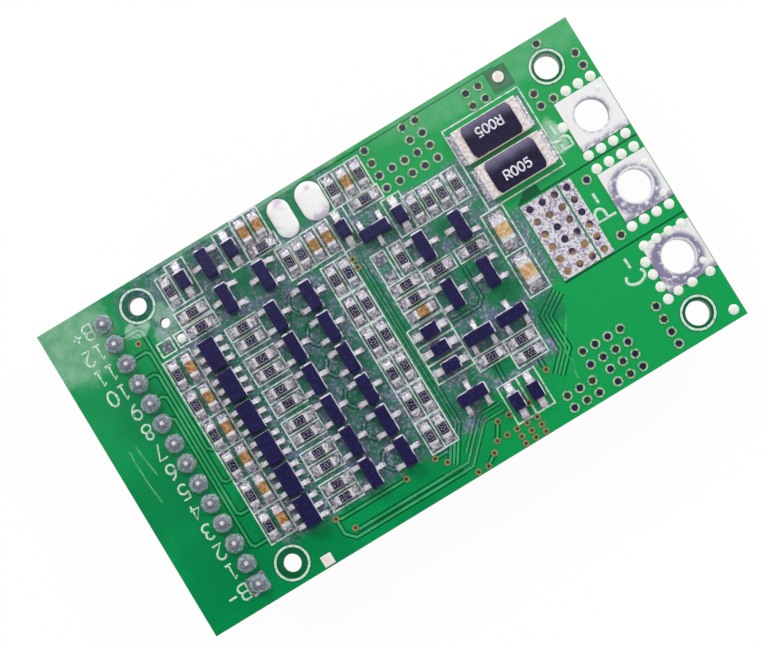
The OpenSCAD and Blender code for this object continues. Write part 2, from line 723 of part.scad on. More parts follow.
module legend_rings() {
    color("#e4f2ea") for (p = mount_places) translate([p.x, p.y, z_top]) difference() {
        cylinder(r = mount_ring_r, h = legend_t);
        translate([0, 0, -over]) cylinder(r = mount_ring_r - mount_ring_w, h = legend_t + 2 * over);
    }
}

// Header and its pins

module pin_lands() {
    color("#c9cdd2") for (i = [0:pin_count - 1]) translate(pin_places[i]) difference() {
        union() {
            for (z = [z_under - land_t, z_top]) translate([0, 0, z]) {
                if (i == pin_count - 1)
                    translate([-pin_land_r, -pin_land_r, 0]) cube([2 * pin_land_r, 2 * pin_land_r, land_t]);
                else
                    cylinder(r = pin_land_r, h = land_t);
            }
            translate([0, 0, z_under]) cylinder(r = pin_hole_r + plating_t, h = board_t);
        }
        drill(pin_hole_r);
    }
}

module pin_solder_joints() {
    top = z_top + land_t;
    bottom = z_under - land_t;
    color("#9a9fa8") for (p = pin_places) translate(p) difference() {
        rotate_extrude() polygon(concat(
            [[0, bottom - solder_under_h], [pin_hole_r, bottom - solder_under_h], [pin_land_r - 0.2, bottom],
                [pin_hole_r, bottom], [pin_hole_r, top], [solder_r, top]],
            [for (a = [20:20:80]) [solder_crown_r + (solder_r - solder_crown_r) * cos(a), top + solder_h * sin(a)]],
            [[solder_crown_r, top + solder_h], [0, top + solder_h]]));
        translate([-pin_side / 2, -pin_side / 2, 0]) cube([pin_side, pin_side, z_top + 2 * solder_h]);
    }
}

module header_pins() {
    elbow = pin_side;
    color("#d8c98f") for (p = pin_places) translate([0, p.y, 0]) union() {
        rotate([90, 0, 0]) linear_extrude(pin_side, center = true) polygon(band(concat(
            [[header_x + pin_recess, pin_z]], arc([pin_x - elbow, pin_z + elbow], elbow, -90, 0, 3),
            [[pin_x, z_top + pin_proud - pin_side]]), pin_side));
        translate([pin_x, 0, z_top + pin_proud - pin_side]) intersection() {
            rotate([90, 0, 0]) linear_extrude(pin_side, center = true) pin_point();
            rotate([90, 0, 90]) linear_extrude(pin_side, center = true) pin_point();
        }
    }
}

// Blunt point of a pin, seen from its side
module pin_point() {
    polygon([[-pin_side / 2, 0], [pin_side / 2, 0], [pin_side / 4, pin_side], [-pin_side / 4, pin_side]]);
}

module header_housing() {
    cavity_h = header_h - 2 * header_wall - 0.1;
    back_x = pin_x - pin_side / 2 - header_back_gap;
    color("#efe9da") difference() {
        translate([header_x, -header_l / 2, 0]) rotate([90, 0, 0]) mirror([0, 0, 1]) linear_extrude(header_l)
            polygon([[0, header_chamfer], [header_chamfer, 0], [header_d - header_tail, 0], [header_d, header_tail],
                [header_d, header_h], [0, header_h]]);
        translate([header_x - over, -header_l / 2 + header_wall + 0.1, header_wall])
            cube([back_x - header_back_wall - header_x + over, header_l - 2 * header_wall - 0.2, cavity_h]);
        translate([back_x, -header_l / 2 + header_wing, -over])
            cube([header_d, header_l - 2 * header_wing, header_h + 2 * over]);
        translate([pin_x - pin_land_r - over, -header_l / 2 + header_wing, header_h - solder_under_h - over])
            cube([header_d, header_l - 2 * header_wing, header_h]);
        for (s = [-1, 1]) translate([header_x - over, s * header_key_y - header_key_w / 2, -over])
            cube([header_key_l + over, header_key_w, header_wall + 2 * over]);
        for (p = pin_places) translate([header_x, p.y - pin_side / 2, pin_z - pin_side / 2])
            cube([header_d, pin_side, pin_side]);
    }
}

// Vias, terminals and the other bare metal

module signal_vias() {
    color("#c8b46a") for (p = signal_via_places) translate(p) via(signal_via_r, signal_via_land_r);
}

module signal_via_plugs() {
    color("#7a5a34") via_plugs(signal_via_places, signal_via_r, land_t);
}

module power_vias() {
    color("#cfd6cf") for (p = power_via_places) translate(p) via(power_via_r, power_via_land_r);
}

module power_via_plugs() {
    color("#2b2350") via_plugs(power_via_places, power_via_r, land_t);
}

// Resin that fills plated holes to just under the lands
module via_plugs(places, r, top) {
    for (p = places) translate([p.x, p.y, z_under]) cylinder(r = r, h = board_t + top - plug_dip);
}

module heat_via_block() {
    left = block_x - block_l / 2;
    right = block_x + block_l / 2;
    color("#dfe0e2") difference() {
        union() {
            translate([left, block_y - block_w / 2, z_top])
                cube([block_gap_x - block_gap_w / 2 - left, block_w, block_t]);
            translate([block_gap_x + block_gap_w / 2, block_y - block_w / 2, z_top])
                cube([right - block_gap_x - block_gap_w / 2, block_w, block_t]);
            for (p = block_via_places) translate([p.x, p.y, z_under])
                cylinder(r = block_via_r + plating_t, h = board_t);
        }
        for (p = block_via_places) translate(p) drill(block_via_r);
    }
}

module heat_via_plugs() {
    color("#6b5140") via_plugs(block_via_places, block_via_r, block_t);
}

module terminal_pad(i) {
    color("#e3e4e8") translate([terminal_x, terminal_y + i * terminal_pitch]) difference() {
        union() {
            for (z = [z_under - terminal_t, z_top]) translate([-terminal_l / 2, -terminal_w / 2, z])
                cube([terminal_l, terminal_w, terminal_t]);
            translate([0, 0, z_under]) cylinder(r = terminal_r + terminal_lining_t, h = board_t);
        }
        translate([0, 0, z_under - terminal_t - over])
            cylinder(r = terminal_r, h = board_t + 2 * (terminal_t + over));
        for (p = dot_places) translate([p.x - terminal_x, p.y - terminal_y - i * terminal_pitch, z_top])
            cylinder(r = dot_r, h = terminal_t + over);
    }
}

module battery_negative_pad() { terminal_pad(1); }

module pack_negative_pad() { terminal_pad(0); }

module charge_negative_pad() { terminal_pad(-1); }

module solder_dots() {
    color("#eef0ee") {
        for (p = dot_places) translate([p.x, p.y, z_top]) dome(dot_r, dot_h);
        for (p = bump_places) translate([p.x, p.y, z_top + terminal_t]) dome(bump_r, bump_h);
        translate([bridge_x[1][0], bridge_y, z_top + land_t]) dome(bridge_solder_r, dot_h);
    }
}

module sensor_pads() {
    color("#ececf0") for (p = sensor_pads_at) translate([p.x, sensor_y, z_top])
        pill(p[1], sensor_l, sensor_h, sensor_edge);
}

module fiducials() {
    color("#e8dcd2") {
        translate([fiducial_place.x, fiducial_place.y, z_top]) cylinder(r = fiducial_r, h = land_t);
        translate([test_pad_place.x - test_pad_side / 2, test_pad_place.y - test_pad_side / 2, z_top])
            cube([test_pad_side, test_pad_side, land_t]);
    }
}

// Moulded semiconductors on the top face

module sot_body(w) {
    moulded_body(w, sot_l, sot_h, sot_gap, sot_draft);
}

module sot_leads(leads, w, span) {
    difference() {
        for (p = leads) translate([0, p[1], 0]) rotate(p[0] > 0 ? 0 : 180)
            strip_lead(w / 2 - 2 * sot_draft, span / 2, sot_gap + sot_h / 2, sot_foot, sot_lead_w, sot_lead_t);
        sot_body(w);
    }
}

module monitor_chip_bodies() {
    color("#221c3c") at_each(monitor_places, z_top + land_t) difference() {
        sot_body(monitor_w);
        translate([-monitor_w / 4, sot_l / 2 - 0.5, sot_gap + sot_h - 0.04]) cylinder(r = 0.14, h = 1);
    }
}

module monitor_chip_leads() {
    color("#c4c8cc") at_each(monitor_places, z_top + land_t) sot_leads(six_leads, monitor_w, monitor_span);
}

module transistor_bodies() {
    color("#1e1648") at_each(transistor_places, z_top + land_t) sot_body(sot_w);
}

module transistor_leads() {
    color("#c4c8cc") at_each(transistor_places, z_top + land_t) sot_leads(three_leads, sot_w, sot_span);
}

module diode_body() {
    moulded_body(diode_l, diode_w, diode_h, 0, sot_draft);
}

module diode_bodies() {
    color("#2a2636") at_each(diode_places, z_top + land_t) diode_body();
}

module diode_leads() {
    color("#c4c8cc") at_each(diode_places, z_top + land_t) difference() {
        for (s = [0, 180]) rotate(s)
            strip_lead(diode_l / 2 - 2 * sot_draft, diode_reach, diode_h / 2, sot_foot, diode_lead_w, sot_lead_t);
        diode_body();
    }
}

// Chip parts on the top face

module resistor_ceramics() {
    color("#d9d6cf") at_each(resistor_places, z_top + land_t)
        chip_core(chip_l, chip_w, chip_h, chip_cap, chip_chamfer);
}

module resistor_coats() {
    color("#17141f") at_each(resistor_places, z_top + land_t + chip_h)
        translate([-chip_l / 2 + chip_cap, -chip_w / 2 + chip_chamfer, 0])
            cube([chip_l - 2 * chip_cap, chip_w - 2 * chip_chamfer, coat_t]);
}

module resistor_end_caps() {
    color("#cfd2d6") at_each(resistor_places, z_top + land_t)
        chip_caps(chip_l, chip_w, chip_h, chip_cap, chip_chamfer);
}

module capacitor_bodies() {
    color("#c98f4e") at_each(capacitor_places, z_top + land_t)
        chip_core(chip_l, chip_w, cap_h, chip_cap, cap_chamfer);
}

module capacitor_end_caps() {
    color("#d8dade") at_each(capacitor_places, z_top + land_t)
        chip_caps(chip_l, chip_w, cap_h, chip_cap, cap_chamfer);
}

module bulk_capacitor_bodies() {
    color("#d08a3c") at_each(bulk_places, z_top + land_t)
        chip_core(bulk_l, bulk_w, cap_h, bulk_cap, cap_chamfer);
}

module bulk_capacitor_end_caps() {
    color("#d8dade") at_each(bulk_places, z_top + land_t)
        chip_caps(bulk_l, bulk_w, cap_h, bulk_cap, cap_chamfer);
}

module shunt_bodies() {
    color("#cfcabd") at_each(shunt_places, z_top + land_t)
        chip_core(shunt_l, shunt_w, shunt_h, shunt_cap, cap_chamfer);
}

module shunt_coats() {
    core_l = shunt_l - 2 * shunt_cap;
    color("#1b1738") at_each(shunt_places, z_top + land_t + shunt_h) linear_extrude(2 * coat_t)
        intersection() {
            square([core_l, shunt_w - 2 * cap_chamfer], center = true);
            circle(r = norm([core_l / 2, shunt_w / 3]), $fn = 96);
        }
}

module shunt_end_caps() {
    color("#e6dccb") at_each(shunt_places, z_top + land_t)
        chip_caps(shunt_l, shunt_w, shunt_h, shunt_cap, cap_chamfer);
}

// Power transistors on the underside

module drain_pour() {
    color("#c9cdd2") translate([fet_x - fet_pitch, block_y, z_under - fet_land_t]) difference() {
        translate([-pour_l / 2, -pour_w / 2, 0]) cube([pour_l, pour_w, fet_land_t]);
        for (p = block_via_places) translate([p.x - fet_x + fet_pitch, p.y - block_y, -over])
            cylinder(r = block_via_r, h = fet_land_t + 2 * over);
    }
}

module power_lead_lands() {
    color("#c9cdd2") at_fets() for (s = [-1, 1])
        translate([s * fet_lead_pitch - fet_lead_land_w / 2, -fet_l / 2 - fet_lead_reach - 0.2, -fet_land_t])
            cube([fet_lead_land_w, fet_foot + 0.6, fet_land_t]);
}

module fet_tab() {
    translate([-fet_tab_w / 2, fet_l / 2 - fet_tab_under, 0])
        cube([fet_tab_w, fet_tab_under + fet_tab_l, fet_tab_t]);
}

module fet_body() {
    difference() {
        moulded_body(fet_w, fet_l, fet_h, 0, fet_draft);
        fet_tab();
    }
}

module power_transistor_bodies() {
    color("#1c1b20") at_fets() fet_body();
}

module power_transistor_tabs() {
    color("#b9bcc0") at_fets() difference() {
        fet_tab();
        for (s = [-1, 1]) translate([s * fet_tab_w / 2, fet_l / 2 + fet_tab_l, -over]) rotate(45)
            cube([fet_tab_cut, fet_tab_cut, 4 * fet_tab_t], center = true);
    }
}

module power_transistor_leads() {
    color("#c4c8cc") at_fets() difference() {
        rotate(-90) {
            for (s = [-1, 1]) translate([0, s * fet_lead_pitch, 0])
                strip_lead(fet_l / 2 - 2 * fet_draft, fet_l / 2 + fet_lead_reach, fet_h / 2, fet_foot, fet_lead_w,
                    fet_lead_t);
            translate([fet_l / 2 - 2 * fet_draft, -fet_lead_w / 2, fet_h / 2 - fet_lead_t / 2])
                cube([fet_stub_l + 2 * fet_draft, fet_lead_w, fet_lead_t]);
        }
        fet_body();
    }
}

// Solder along the free edges of the power transistors' tabs and leads
module power_solder_fillets() {
    toe = fet_l / 2 + fet_lead_reach;
    color("#d5d8dc") at_fets() {
        translate([0, fet_l / 2 + fet_tab_l, 0]) rotate(90)
            fillet(fet_tab_l / 2, fet_tab_t * 0.8, fet_tab_w - 2 * fet_tab_cut);
        for (s = [-1, 1]) translate([s * fet_lead_pitch, 0, 0]) {
            translate([0, -toe, 0]) rotate(-90) fillet(toe_l, fet_lead_t * 0.6, fet_lead_w);
            for (t = [0, 180]) translate([0, fet_foot / 3 - toe, 0]) rotate(t)
                translate([fet_lead_w / 2, 0, 0]) fillet(0.3, fet_lead_t * 0.6, fet_foot / 2);
        }
    }
}

board();
copper_pours();
top_tracks();
underside_tracks();
component_lands();
solder_fillets();
legend_frames();
legend_rings();
pin_lands();
pin_solder_joints();
header_housing();
header_pins();
signal_vias();
signal_via_plugs();
power_vias();
power_via_plugs();
heat_via_block();
heat_via_plugs();
battery_negative_pad();
pack_negative_pad();
charge_negative_pad();
solder_dots();
sensor_pads();
fiducials();
monitor_chip_bodies();
monitor_chip_leads();
transistor_bodies();
transistor_leads();
diode_bodies();
diode_leads();
resistor_ceramics();
resistor_coats();
resistor_end_caps();
capacitor_bodies();
capacitor_end_caps();
bulk_capacitor_bodies();
bulk_capacitor_end_caps();
shunt_bodies();
shunt_coats();
shunt_end_caps();
drain_pour();
power_lead_lands();
power_transistor_bodies();
power_transistor_tabs();
power_transistor_leads();
power_solder_fillets();
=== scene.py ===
"""Looks of a battery management board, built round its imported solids.

The board lies with its component side up on a pale floor and is seen almost straight from above.
The solids carry every form that can be measured. This file adds their finishes, the printed
characters, the beads of the clear coat, three fine tracks, the studio and the camera.
"""

from __future__ import annotations

import logging
import math
from dataclasses import dataclass, field
from enum import Enum
from typing import Any

import bmesh
import bpy
from mathutils import Matrix, Vector

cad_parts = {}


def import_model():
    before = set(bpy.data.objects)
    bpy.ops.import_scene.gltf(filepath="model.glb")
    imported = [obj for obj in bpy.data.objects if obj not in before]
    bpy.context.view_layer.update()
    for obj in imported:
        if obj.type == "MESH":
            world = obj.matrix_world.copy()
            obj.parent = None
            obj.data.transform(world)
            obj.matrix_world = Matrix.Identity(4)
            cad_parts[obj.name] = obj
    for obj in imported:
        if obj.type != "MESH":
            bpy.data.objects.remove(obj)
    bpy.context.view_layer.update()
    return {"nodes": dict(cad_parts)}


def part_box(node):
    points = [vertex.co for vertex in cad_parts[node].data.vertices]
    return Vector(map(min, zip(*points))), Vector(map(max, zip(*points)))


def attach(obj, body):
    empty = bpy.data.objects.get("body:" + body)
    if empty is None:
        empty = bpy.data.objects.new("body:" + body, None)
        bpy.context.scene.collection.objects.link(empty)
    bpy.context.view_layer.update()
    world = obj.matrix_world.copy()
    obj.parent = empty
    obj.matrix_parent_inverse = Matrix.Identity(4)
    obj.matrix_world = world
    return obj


LOG = logging.getLogger("board")
MM = 0.001
IMAGE_WIDTH_PX = 761

# Settings that many shader nodes share
SMOOTH = {"interpolation_type": "SMOOTHSTEP"}
IN_COLOUR = {"data_type": "RGBA"}
# Sockets of a Mix node for colours: its three inputs and its output
SHARE, BELOW, ABOVE, MIXED = 0, 6, 7, 2
# A wave texture turns once in this length when its scale is 1
WAVE_LENGTH = 2 * math.pi / 20


def linear(hex_colour: str) -> tuple[float, float, float, float]:
    """Turns an sRGB colour into linear light.

    Args:
        hex_colour: The colour as six hex digits after a hash sign.

    Returns:
        Red, green and blue in linear light, and an alpha of 1.
    """
    channels = [int(hex_colour[i : i + 2], 16) / 255 for i in (1, 3, 5)]
    light = [c / 12.92 if c <= 0.04045 else ((c + 0.055) / 1.055) ** 2.4 for c in channels]
    return (light[0], light[1], light[2], 1.0)


def add_node(
    tree: bpy.types.NodeTree,
    kind: str,
    settings: dict[str, Any] | None = None,
    inputs: dict[Any, Any] | None = None,
) -> bpy.types.Node:
    """Adds a shader node with its settings and links.

    Args:
        tree: The node tree that gets the node.
        kind: The node's type without its ShaderNode prefix.
        settings: Properties of the node, by name.
        inputs: Sockets by name or index. An output socket is linked, a node is linked by its
            first output, and any other value is set.

    Returns:
        The new node.
    """
    node = tree.nodes.new("ShaderNode" + kind)
    for name, value in (settings or {}).items():
        setattr(node, name, value)
    for key, value in (inputs or {}).items():
        if isinstance(value, bpy.types.Node):
            value = value.outputs[0]
        if isinstance(value, bpy.types.NodeSocket):
            tree.links.new(value, node.inputs[key])
        else:
            node.inputs[key].default_value = value
    return node


def per_metre(size_mm: float) -> float:
    """Turns the size of a pattern's features into its scale on coordinates in metres.

    Args:
        size_mm: The size in millimetres.

    Returns:
        The scale.
    """
    return 1.0 / (size_mm * MM)


def wobbled(
    tree: bpy.types.NodeTree, place: bpy.types.NodeSocket, size_mm: float, reach_mm: float
) -> bpy.types.NodeSocket:
    """Shifts the coordinates by slow noise, so that borders drawn on them are uneven.

    Args:
        tree: The material's node tree.
        place: Object coordinates in metres.
        size_mm: The size of a wobble along the border.
        reach_mm: How far the border strays, from one side to the other.

    Returns:
        The shifted coordinates.
    """
    drift = add_node(tree, "TexNoise", None, {
        "Vector": place, "Scale": per_metre(size_mm), "Detail": 2.0})
    centred = add_node(tree, "VectorMath", {"operation": "SUBTRACT"}, {
        0: drift.outputs["Color"], 1: (0.5, 0.5, 0.5)})
    shift = add_node(tree, "VectorMath", {"operation": "SCALE"}, {
        0: centred, "Scale": 2 * reach_mm * MM})
    return add_node(tree, "VectorMath", {"operation": "ADD"}, {0: place, 1: shift}).outputs[0]


def overlaid(
    tree: bpy.types.NodeTree, colour: bpy.types.NodeSocket, layers: list[tuple[str, tuple[Any, ...]]]
) -> bpy.types.NodeSocket:
    """Lays further colours over a colour, from the lowest to the highest.

    Args:
        tree: The material's node tree.
        colour: The colour below.
        layers: For each layer its colour as hex digits, and the nodes, sockets or numbers whose
            product is its share of the surface.

    Returns:
        The colour that is seen.
    """
    for hex_colour, factors in layers:
        share = 1.0
        for factor in factors:
            share = add_node(tree, "Math", {"operation": "MULTIPLY"}, {0: share, 1: factor})
        colour = add_node(tree, "Mix", IN_COLOUR, {
            SHARE: share, BELOW: colour, ABOVE: linear(hex_colour)}).outputs[MIXED]
    return colour


@dataclass(frozen=True)
class Patches:
    """Irregular patches of one real size, from slow clouds down to fine specks.

    The amount goes from its low to its high value where the noise rises through the span. A narrow
    span gives crisp patches and a wide one gives clouds.
    """

    size_mm: float
    span: tuple[float, float]
    amounts: tuple[float, float] = (0.0, 1.0)
    detail: float = 2.0
    soft: bool = True

    def build(self, tree: bpy.types.NodeTree, place: bpy.types.NodeSocket) -> bpy.types.NodeSocket:
        """Builds the pattern.

        Args:
            tree: The material's node tree.
            place: Object coordinates in metres.

        Returns:
            The amount at each spot of the surface.
        """
        spots = add_node(tree, "TexNoise", None, {
            "Vector": place, "Scale": per_metre(self.size_mm), "Detail": self.detail})
        return add_node(tree, "MapRange", SMOOTH if self.soft else None, {
            "Value": spots, "From Min": self.span[0], "From Max": self.span[1],
            "To Min": self.amounts[0], "To Max": self.amounts[1]}).outputs[0]


@dataclass(frozen=True)
class Finish:
    """A finish with a mottled colour, a fine grain and, where it has one, a clear coat.

    The mottle is what the eye sees as uneven tinning, ink or resin, and the grain breaks up the
    reflections. Both are sized from the real surface in millimetres.
    """

    name: str
    base: str
    mottle: str
    mottle_mm: float
    roughness: float
    grain_mm: float = 0.08
    grain_span: tuple[float, float] = (0.3, 0.7)
    grain_hardness: float = 0.6
    bump_mm: float = 0.004
    metallic: float = 0.0
    spread: float = 0.12
    smoothest: float = 0.02
    mottle_from: float = 0.4
    mottle_to: float = 0.62
    mottle_detail: float = 3.0
    coat: float = 0.0
    coat_roughness: float = 0.08
    ior: float = 1.5
    specular: float = 0.5

    def blotches(self, tree: bpy.types.NodeTree, place: bpy.types.NodeSocket) -> bpy.types.NodeSocket:
        """Makes the share of the mottle.

        Args:
            tree: The material's node tree.
            place: Object coordinates in metres.

        Returns:
            The share at each spot of the surface, from 0 to 1.
        """
        span = (self.mottle_from, self.mottle_to)
        return Patches(self.mottle_mm, span, detail=self.mottle_detail).build(tree, place)

    def colour(self, tree: bpy.types.NodeTree, place: bpy.types.NodeSocket) -> bpy.types.NodeSocket:
        """Makes the colour of the surface.

        Args:
            tree: The material's node tree.
            place: Object coordinates in metres.

        Returns:
            The socket that carries the colour.
        """
        mixed = add_node(tree, "Mix", IN_COLOUR, {
            SHARE: self.blotches(tree, place), BELOW: linear(self.base), ABOVE: linear(self.mottle)})
        return mixed.outputs[MIXED]

    def build(self) -> bpy.types.Material:
        """Builds the material.

        Returns:
            The new material, whose patterns lie on object coordinates.
        """
        material = bpy.data.materials.new(self.name)
        material.use_nodes = True
        tree = material.node_tree
        tree.nodes.clear()
        place = add_node(tree, "TexCoord").outputs["Object"]
        colour = self.colour(tree, place)
        grain = add_node(tree, "TexNoise", None, {
            "Vector": place, "Scale": per_metre(self.grain_mm), "Detail": 2.0,
            "Roughness": self.grain_hardness})
        rough = add_node(tree, "MapRange", None, {
            "Value": grain, "From Min": self.grain_span[0], "From Max": self.grain_span[1],
            "To Min": max(self.roughness - self.spread, self.smoothest),
            "To Max": self.roughness + self.spread})
        bump = add_node(tree, "Bump", None, {
            "Height": grain, "Distance": self.bump_mm * MM, "Strength": 1.0})
        inputs = {
            "Base Color": colour, "Roughness": rough, "Normal": bump, "Metallic": self.metallic,
            "Coat Weight": self.coat, "Coat Roughness": self.coat_roughness}
        if self.metallic < 1.0:
            inputs["IOR"] = self.ior
            inputs["Specular IOR Level"] = self.specular
        shader = add_node(tree, "BsdfPrincipled", None, inputs)
        add_node(tree, "OutputMaterial", None, {"Surface": shader})
        return material


@dataclass(frozen=True)
class SolderMask(Finish):
    """Glossy green solder mask over copper.

    Between the parts the mask is darkened by painted shade, and dulled by flux, which dries to a blue grey
    haze with white specks.
    The sprayed clear coat leaves pale dried pools near some of the board's edges, and a pale painted glare
    lies in two long strips along its upper edge.
    """

    bright: str = "#12a756"
    haze: str = "#7a7aa3"
    speck: str = "#bdbcd2"
    # Painted shade: a darker green over the zones full of parts, where shade falls between them
    shade: str = "#066a4c"
    # The pale green of the dried pools and of the painted glare along the upper edge
    pool: str = "#b9e0c8"
    # Where the green turns brighter along x, and the heights between which the painted shade, flux, coat and
    # painted glare set in
    drift_mm: tuple[float, float] = (-10.0, 15.0)
    upper_mm: tuple[float, float] = (5.3, 6.1)
    # The zones that are full of parts: the lowest and highest x and y of each
    zones_mm: tuple[tuple[float, float, float, float], ...] = (
        (-17.4, -11.4, 2.7, 14.8), (2.0, -9.6, 11.4, 9.2), (11.0, -7.0, 13.3, 9.2),
        (2.0, 9.2, 4.5, 14.0), (13.0, -4.2, 14.5, 3.2), (-19.4, 11.3, -17.0, 14.3))
    zone_soft_mm: float = 0.5
    # The strengths of the painted shade and of the flux haze
    shade_amount: float = 0.6
    haze_amount: float = 0.85
    # Spots in the zones that stayed clean, and the dried pools with the painted glare: centre, radii and
    # strength of each
    clean_mm: tuple[tuple[float, float, float, float, float], ...] = (
        (9.7, -2.6, 1.7, 1.1, 0.9), (6.5, -8.1, 1.2, 0.9, 0.9), (8.1, 4.9, 0.7, 0.7, 0.9),
        (7.9, 1.0, 0.9, 0.9, 0.8), (-8.9, 10.6, 1.0, 1.4, 0.9), (-1.9, 13.2, 3.4, 2.0, 0.9),
        (0.4, -2.5, 0.9, 8.5, 0.6), (12.4, -6.4, 1.5, 2.2, 0.85))
    pools_mm: tuple[tuple[float, float, float, float, float], ...] = (
        (-24.8, 13.1, 4.2, 3.8, 0.48), (-19.0, 10.95, 1.3, 0.6, 0.8), (-16.3, 10.9, 1.0, 1.2, 0.5),
        (-16.9, 9.3, 1.2, 0.8, 0.4), (20.5, 6.6, 0.9, 1.7, 0.85),
        # The last two are the painted glare, long pale strips along the board's upper edge
        (19.0, 14.8, 12.0, 2.6, 0.19), (-6.0, 15.4, 12.0, 0.9, 0.4))
    # How the borders stray: the size of a wobble and its reach
    zone_wobble_mm: tuple[float, float] = (2.0, 0.7)
    clean_wobble_mm: tuple[float, float] = (1.2, 0.5)
    pool_wobble_mm: tuple[float, float] = (1.1, 0.8)
    # Where an ellipse's border starts and ends, as the square of the distance in radii
    ellipse_border: tuple[float, float] = (1.4, 0.6)
    # The flux lies in patches, as a thin veil with specks in it, and the pools and the painted glare are
    # streaky
    patchy: Patches = Patches(1.5, (0.4, 0.6), (0.35, 1.0), soft=False)
    veil: Patches = Patches(0.8, (0.35, 0.65), (0.15, 1.0), 4.0, soft=False)
    specks: Patches = Patches(0.25, (0.48, 0.7), (0.0, 0.75), 3.0)
    streaks: Patches = Patches(0.9, (0.35, 0.65), (0.55, 1.0), 4.0, soft=False)

    def zone(self, tree: bpy.types.NodeTree, place: bpy.types.NodeSocket) -> bpy.types.Node:
        """Makes a soft mask of the part-filled zones, with an uneven border.

        Args:
            tree: The material's node tree.
            place: Object coordinates in metres.

        Returns:
            A node whose first output is 1 inside the zones and 0 outside.
        """
        axes = add_node(tree, "SeparateXYZ", None, {0: wobbled(tree, place, *self.zone_wobble_mm)})
        soft = self.zone_soft_mm * MM
        mask = 0.0
        for x0, y0, x1, y1 in self.zones_mm:
            box = 1.0
            for axis, at, sign in ((0, x0, 1), (1, y0, 1), (0, x1, -1), (1, y1, -1)):
                box = add_node(tree, "MapRange", SMOOTH, {
                    "Value": axes.outputs[axis], "From Min": at * MM - sign * soft,
                    "From Max": at * MM + sign * soft, "To Max": box})
            mask = add_node(tree, "Math", {"operation": "MAXIMUM"}, {0: mask, 1: box})
        return mask

    def ellipses(
        self, tree: bpy.types.NodeTree, spot: bpy.types.NodeSocket, shapes: tuple[tuple[float, ...], ...]
    ) -> bpy.types.Node:
        """Makes a mask of soft ellipses.

        Args:
            tree: The material's node tree.
            spot: Coordinates in metres, of which x and y count.
            shapes: For each ellipse its centre, its two radii in millimetres and its strength.

        Returns:
            A node whose first output is the strongest ellipse's share at each spot.
        """
        mask = 0.0
        for x, y, across, along, amount in shapes:
            offset = add_node(tree, "VectorMath", {"operation": "SUBTRACT"}, {
                0: spot, 1: (x * MM, y * MM, 0.0)})
            radii = add_node(tree, "VectorMath", {"operation": "MULTIPLY"}, {
                0: offset, 1: (per_metre(across), per_metre(along), 0.0)})
            square = add_node(tree, "VectorMath", {"operation": "DOT_PRODUCT"}, {0: radii, 1: radii})
            inside = add_node(tree, "MapRange", SMOOTH, {
                "Value": square.outputs["Value"], "From Min": self.ellipse_border[0],
                "From Max": self.ellipse_border[1], "To Max": amount})
            mask = add_node(tree, "Math", {"operation": "MAXIMUM"}, {0: mask, 1: inside})
        return mask

    def colour(self, tree: bpy.types.NodeTree, place: bpy.types.NodeSocket) -> bpy.types.NodeSocket:
        """Makes the mask's greens, the painted shade, haze and specks between the parts, and the dried pools
        with the painted glare along the upper edge.

        Args:
            tree: The material's node tree.
            place: Object coordinates in metres.

        Returns:
            The socket that carries the colour.
        """
        axes = add_node(tree, "SeparateXYZ", None, {0: place})
        drift, upper = (
            add_node(tree, "MapRange", SMOOTH, {
                "Value": axes.outputs[axis], "From Min": start * MM, "From Max": end * MM})
            for axis, (start, end) in ((0, self.drift_mm), (2, self.upper_mm)))
        area = add_node(tree, "Math", {"operation": "MULTIPLY"}, {0: self.zone(tree, place), 1: upper})
        clean = self.ellipses(tree, wobbled(tree, place, *self.clean_wobble_mm), self.clean_mm)
        pools_and_glare = self.ellipses(tree, wobbled(tree, place, *self.pool_wobble_mm), self.pools_mm)
        dull = add_node(tree, "Math", {"operation": "SUBTRACT"}, {0: 1.0, 1: clean})
        flux = (area, dull, self.patchy.build(tree, place))
        return overlaid(tree, super().colour(tree, place), [
            (self.bright, (drift,)),
            # Painted shade between the parts
            (self.shade, (area, self.shade_amount)),
            (self.haze, (*flux, self.veil.build(tree, place), self.haze_amount)),
            (self.speck, (*flux, self.specks.build(tree, place))),
            # Dried pools, and painted glare along the upper edge
            (self.pool, (pools_and_glare, self.streaks.build(tree, place), upper))])


@dataclass(frozen=True)
class Laminate(SolderMask):
    """Glass epoxy under the mask where there is no copper: dark green on its faces.

    The sawn edges and the drilled walls are bare and show the glass cloth as a pale and a dark
    stripe.
    """

    edge: str = "#8f9a68"
    edge_stripe: str = "#5f7a4c"
    stripe_mm: float = 1.257
    stripe_waver: float = 1.5
    # How far a face has to look up or down to be masked
    facing: tuple[float, float] = (0.3, 0.6)

    def colour(self, tree: bpy.types.NodeTree, place: bpy.types.NodeSocket) -> bpy.types.NodeSocket:
        """Makes the dark green of the faces and the striped edges.

        Args:
            tree: The material's node tree.
            place: Object coordinates in metres.

        Returns:
            The socket that carries the colour.
        """
        face = super().colour(tree, place)
        stripes = add_node(tree, "TexWave", {"wave_type": "BANDS", "bands_direction": "Z"}, {
            "Vector": place, "Scale": WAVE_LENGTH * per_metre(self.stripe_mm),
            "Distortion": self.stripe_waver, "Detail": 2.0})
        edge = add_node(tree, "Mix", IN_COLOUR, {
            SHARE: stripes.outputs["Fac"], BELOW: linear(self.edge_stripe), ABOVE: linear(self.edge)})
        geometry = add_node(tree, "NewGeometry")
        normal = add_node(tree, "SeparateXYZ", None, {0: geometry.outputs["Normal"]})
        upright = add_node(tree, "Math", {"operation": "ABSOLUTE"}, {0: normal.outputs[2]})
        masked = add_node(tree, "MapRange", None, {
            "Value": upright, "From Min": self.facing[0], "From Max": self.facing[1]})
        return add_node(tree, "Mix", IN_COLOUR, {
            SHARE: masked, BELOW: edge.outputs[MIXED], ABOVE: face}).outputs[MIXED]


